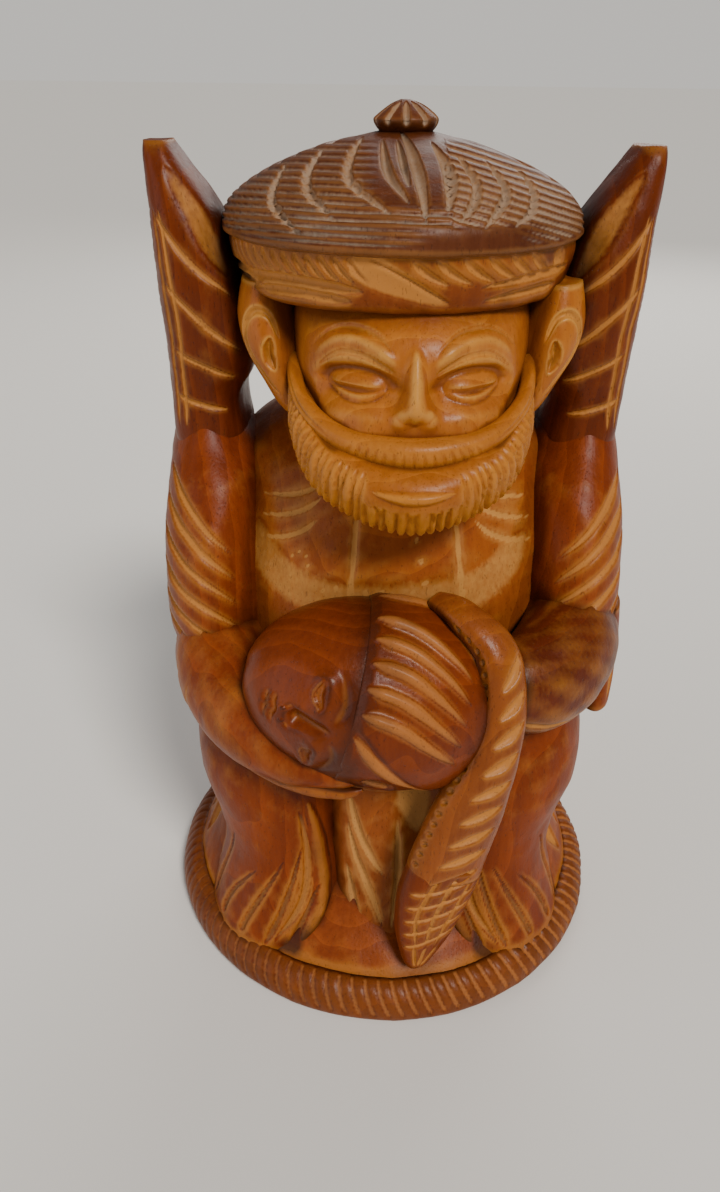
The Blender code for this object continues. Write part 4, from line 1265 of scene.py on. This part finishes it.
held_face = held_blank(-HELD_LENGTH + 0.15, HAIRLINE + 0.9, lambda along, turn: 0.0, spacing=0.2)
for sign in (-1, 1):
    socket = over_face([(-6.9, sign * 14), (-7.3, sign * 30)])
    held_face.stroke(socket, width=4.2, depth=0.7, shape="round", ends=(0.0, 0.0), mark=0.0)
    brow = over_face([(-5.6, sign * 6), (-4.7, sign * 20), (-5.8, sign * 40)])
    held_face.stroke(brow, width=1.3, depth=-0.5, shape="round", ends=(0.2, 0.4))
nose = over_face([(-5.4, 0), (-8.6, 0), (-10.8, 0)])
held_face.stroke(nose, width=3.4, depth=-1.7, shape="round", ends=(0.8, 0.12))
held_face.settle()
held_face.soften(4)
for sign in (-1, 1):
    lid = over_face([(-7.0, sign * 14), (-7.6, sign * 23), (-7.2, sign * 32)])
    held_face.stroke(lid, width=2.7, depth=-0.8, shape="round", ends=(0.3, 0.3))
    wing = over_face([(-10.4, sign * 7), (-10.7, sign * 9)])
    held_face.stroke(wing, width=1.7, depth=-0.6, shape="round", ends=(0.3, 0.3))
LIPS = [(-12.2, -16), (-12.5, -6), (-12.3, 0), (-12.5, 6), (-12.2, 16)]
for shift in (0.0, -1.0):
    lip = over_face([(along + shift, turn) for along, turn in LIPS])
    held_face.stroke(lip, width=1.3, depth=-0.55, shape="round", ends=(0.4, 0.4))
held_face.settle()
held_face.soften(4)
for sign in (-1, 1):
    line = over_face([(-7.2, sign * 12), (-8.4, sign * 22), (-7.5, sign * 34)])
    held_face.stroke(line, width=0.55, depth=0.35, shape="vee", ends=(0.15, 0.15), mark=0.5)
    nostril = over_face([(-11.2, sign * 4), (-11.2, sign * 7)])
    held_face.stroke(nostril, width=0.7, depth=0.35, shape="gouge", ends=(0.3, 0.3), mark=0.0)
mouth = over_face([(along - 0.5, turn) for along, turn in LIPS])
held_face.stroke(mouth, width=0.45, depth=0.3, shape="vee", ends=(0.2, 0.2), mark=0.3)
held_face.hand_work(amount=0.07, seed=50)
held_face.finish("sleeping_face", "held_head", "red_brown", HELD_WOOD)

held_hair = held_blank(HAIRLINE, HELD_LENGTH - 0.1, hair_step, spacing=0.22)
for k in range(5):
    turn = 76 - 14 * k
    comb = [in_held(HAIRLINE + 0.5, turn, 1.05), in_held(1.5, turn - 4, 1.05), in_held(6.0, turn - 15, 1.05),
            in_held(9.2, turn - 27, 1.05)]
    held_hair.stroke(comb, width=1.6, depth=0.65, shape="gouge", ends=(0.15, 0.6), mark=0.8)
crown_comb = [in_held(5.5, 86, 1.05), in_held(9.8, 66, 1.05), in_held(12.6, 40, 1.05)]
held_hair.stroke(crown_comb, width=1.4, depth=0.6, shape="gouge", ends=(0.5, 0.5))
side_lock = [in_held(HAIRLINE + 0.2, 6, 1.03), in_held(1.0, -14, 1.03), in_held(5.6, -32, 1.03),
             in_held(9.0, -46, 1.03)]
held_hair.stroke(side_lock, width=1.7, depth=0.55, shape="gouge", ends=(0.3, 0.5))
ear = [in_held(-0.6, -33), in_held(1.6, -37), in_held(3.6, -44)]
held_hair.stroke(ear, width=3.2, depth=-0.9, shape="round", ends=(0.2, 0.3))
nape_fold = [in_held(-2.6, -60), in_held(2.0, -62), in_held(7.0, -64)]
held_hair.stroke(nape_fold, width=1.2, depth=0.4, shape="gouge", ends=(0.4, 0.4), mark=0.5)
held_hair.settle()
ear_bowl = [in_held(-0.2, -34), in_held(1.6, -38), in_held(3.0, -44)]
held_hair.stroke(ear_bowl, width=1.4, depth=0.5, shape="gouge", ends=(0.3, 0.4))
for turn in range(100, 236, 19):
    comb = [in_held(HAIRLINE + 0.6, turn, 1.05), in_held(3.5, turn + 3, 1.05), in_held(11.0, turn + 8, 1.05)]
    held_hair.stroke(comb, width=1.9, depth=0.6, shape="gouge", ends=(0.2, 0.6))
held_hair.hand_work(amount=0.10, seed=51)
held_hair.finish("combed_hair", "held_hair", "red_brown", HELD_WOOD)

# ---------------------------------------------------------------- Sash
# A plaited band that comes over the left forearm and hangs to the hem: leaf-shaped gouge cuts down its
# face, a dark notched side, and an end cut crosswise into a net with three long points.

SASH_AXIS = (0.0, 0.0, 30.0)
sash = swept_band([
    (4.6, -17.4, 57.6, 1.2, 0.7), (7.4, -20.6, 57.4, 2.0, 1.4), (11.2, -23.2, 54.2, 2.5, 2.0),
    (12.2, -24.6, 48.4, 2.9, 2.5), (11.4, -26.0, 42.0, 3.3, 2.6), (9.4, -26.8, 34.6, 4.4, 2.7),
    (7.3, -27.0, 26.6, 4.9, 2.7), (6.7, -27.0, 23.8, 4.9, 2.7)], SASH_AXIS, spacing=0.2, fullness=0.8)
for k in range(9):
    t = 0.26 + 0.085 * k
    leaf = [on_band(sash, t, 0.62), on_band(sash, t + 0.035, 0.15), on_band(sash, t + 0.075, -0.5)]
    sash.stroke(leaf, width=1.5, depth=0.6, shape="gouge", ends=(0.4, 0.45))
for k in range(22):
    t = 0.12 + 0.039 * k
    left_notch = [on_band(sash, t, 0.86), on_band(sash, t + 0.02, 0.99)]
    sash.stroke(left_notch, width=0.9, depth=0.5, shape="gouge", ends=(0.3, 0.3), mark=0.3)
    right_notch = [on_band(sash, t, -0.9), on_band(sash, t + 0.015, -0.99)]
    sash.stroke(right_notch, width=0.7, depth=0.35, shape="gouge", ends=(0.3, 0.3), mark=0.5)
sash.hand_work(amount=0.07, seed=60)
SASH_WOOD = wood(
    "plaited_sash", dark=(0.14, 0.028, 0.005), light=(0.33, 0.088, 0.012), bare=BARE,
    corner=(0.025, 0.006, 0.002), gloss=0.3)
sash.finish("plaited_sash", "sash", "oiled_body", SASH_WOOD)

net = swept_band([
    (7.0, -27.0, 25.4, 4.9, 2.7), (5.8, -27.1, 20.0, 5.0, 2.6), (4.6, -27.4, 13.4, 3.8, 2.2),
    (3.7, -28.0, 8.8, 1.9, 1.5), (3.4, -28.2, 7.4, 0.9, 0.8)], SASH_AXIS, spacing=0.18, fullness=0.8)
for k in range(5):
    t = 0.02 + 0.135 * k
    slanting = [on_band(net, t, 0.9), on_band(net, t + 0.10, 0.2), on_band(net, t + 0.2, -0.85)]
    net.stroke(slanting, width=0.8, depth=0.6, shape="vee", ends=(0.1, 0.1), mark=0.9)
for across in (-0.55, -0.05, 0.45):
    hanging = [on_band(net, 0.02, across + 0.2), on_band(net, 0.4, across), on_band(net, 0.76, across * 0.8)]
    net.stroke(hanging, width=0.8, depth=0.6, shape="vee", ends=(0.1, 0.3), mark=0.9)
for across in (-0.5, 0.0, 0.5):
    tip = [on_band(net, 0.74, across), on_band(net, 0.96, across * 0.5)]
    net.stroke(tip, width=0.7, depth=0.45, shape="vee", ends=(0.2, 0.2))
net.hand_work(amount=0.05, seed=61)
NET_WOOD = wood(
    "dark_net", dark=(0.09, 0.011, 0.001), light=(0.22, 0.038, 0.003), bare=BARE,
    corner=(0.02, 0.004, 0.001), rub_and_highlight=0.3)
net.finish("net_end", "sash_end", "oiled_body", NET_WOOD)

# ---------------------------------------------------------------- Painted shade in the recesses
# Shade is painted into the colour where little light reaches: under the hat, behind the beard and
# between the arms and the sash. Each point is darker the more wood stands close in front of it.

REACH = 8.0
STRIDE = 5
THINNED = 3
START_CLEAR = 0.45
DARKENING = 1.9
shell_points, shell_faces = [], []
for blank, _ in CARVED:
    rows, around = blank.grid
    keep_rows = np.unique(np.append(np.arange(0, rows, THINNED), rows - 1))
    keep_turns = np.arange(0, around, THINNED)
    net_points = blank.points[:rows * around].reshape(rows, around, 3)[np.ix_(keep_rows, keep_turns)]
    already = sum(map(len, shell_points))
    corner = np.arange(len(keep_rows) * len(keep_turns)).reshape(len(keep_rows), -1) + already
    nxt = np.roll(corner, -1, axis=1)
    shell_faces.append(np.stack([corner[:-1], nxt[:-1], nxt[1:], corner[1:]], axis=-1).reshape(-1, 4))
    shell_points.append(net_points.reshape(-1, 3))
shell = BVHTree.FromPolygons(np.vstack(shell_points).tolist(), np.vstack(shell_faces).tolist())
FEELERS = [Vector((math.sin(a) * math.sin(t), math.cos(a) * math.sin(t), math.cos(t)))
           for t, count in ((0.25, 1), (0.75, 5), (1.2, 6)) for a in np.arange(count) * math.tau / count]


def closed_in(point, normal):
    """How much nearby wood stands in front of a point, from 0 in the open to 1 in a deep corner."""
    out = Vector(normal)
    start = Vector(point) + out * START_CLEAR
    frame_turn = out.to_track_quat("Z", "Y")
    total = 0.0
    for feeler in FEELERS:
        distance = shell.ray_cast(start, frame_turn @ feeler, REACH)[3]
        if distance is not None:
            total += 1.0 - distance / REACH
    return total / len(FEELERS)


for blank, mesh in CARVED:
    rows, around = blank.grid
    keep_rows = np.unique(np.append(np.arange(0, rows, STRIDE), rows - 1))
    keep_turns = np.arange(0, around, STRIDE)
    points = blank.points[:rows * around].reshape(rows, around, 3)[np.ix_(keep_rows, keep_turns)]
    normals = blank.normals[:rows * around].reshape(rows, around, 3)[np.ix_(keep_rows, keep_turns)]
    pairs = zip(points.tolist(), normals.tolist())
    rough = np.array([[closed_in(point, normal) for point, normal in zip(*pair)] for pair in pairs])
    for axis in (0, 1):
        beside = [np.roll(rough, 1, axis), rough, np.roll(rough, -1, axis)]
        rough = np.median(beside, axis=0)
    rough = np.concatenate([rough, rough[:, :1]], axis=1)
    turns = np.append(keep_turns, around)
    wide = np.stack([np.interp(np.arange(around), turns, row) for row in rough])
    full = np.stack([np.interp(np.arange(rows), keep_rows, column) for column in wide.T], axis=1)
    values = np.concatenate([full.ravel(), [full[0].mean(), full[-1].mean()]])
    # The recess values are painted shade, which the carving finish blends into the colour.
    layer = mesh.attributes.new("recess_shade", "FLOAT", "POINT")
    layer.data.foreach_set("value", np.clip(values * DARKENING, 0, 1).astype(np.float32))
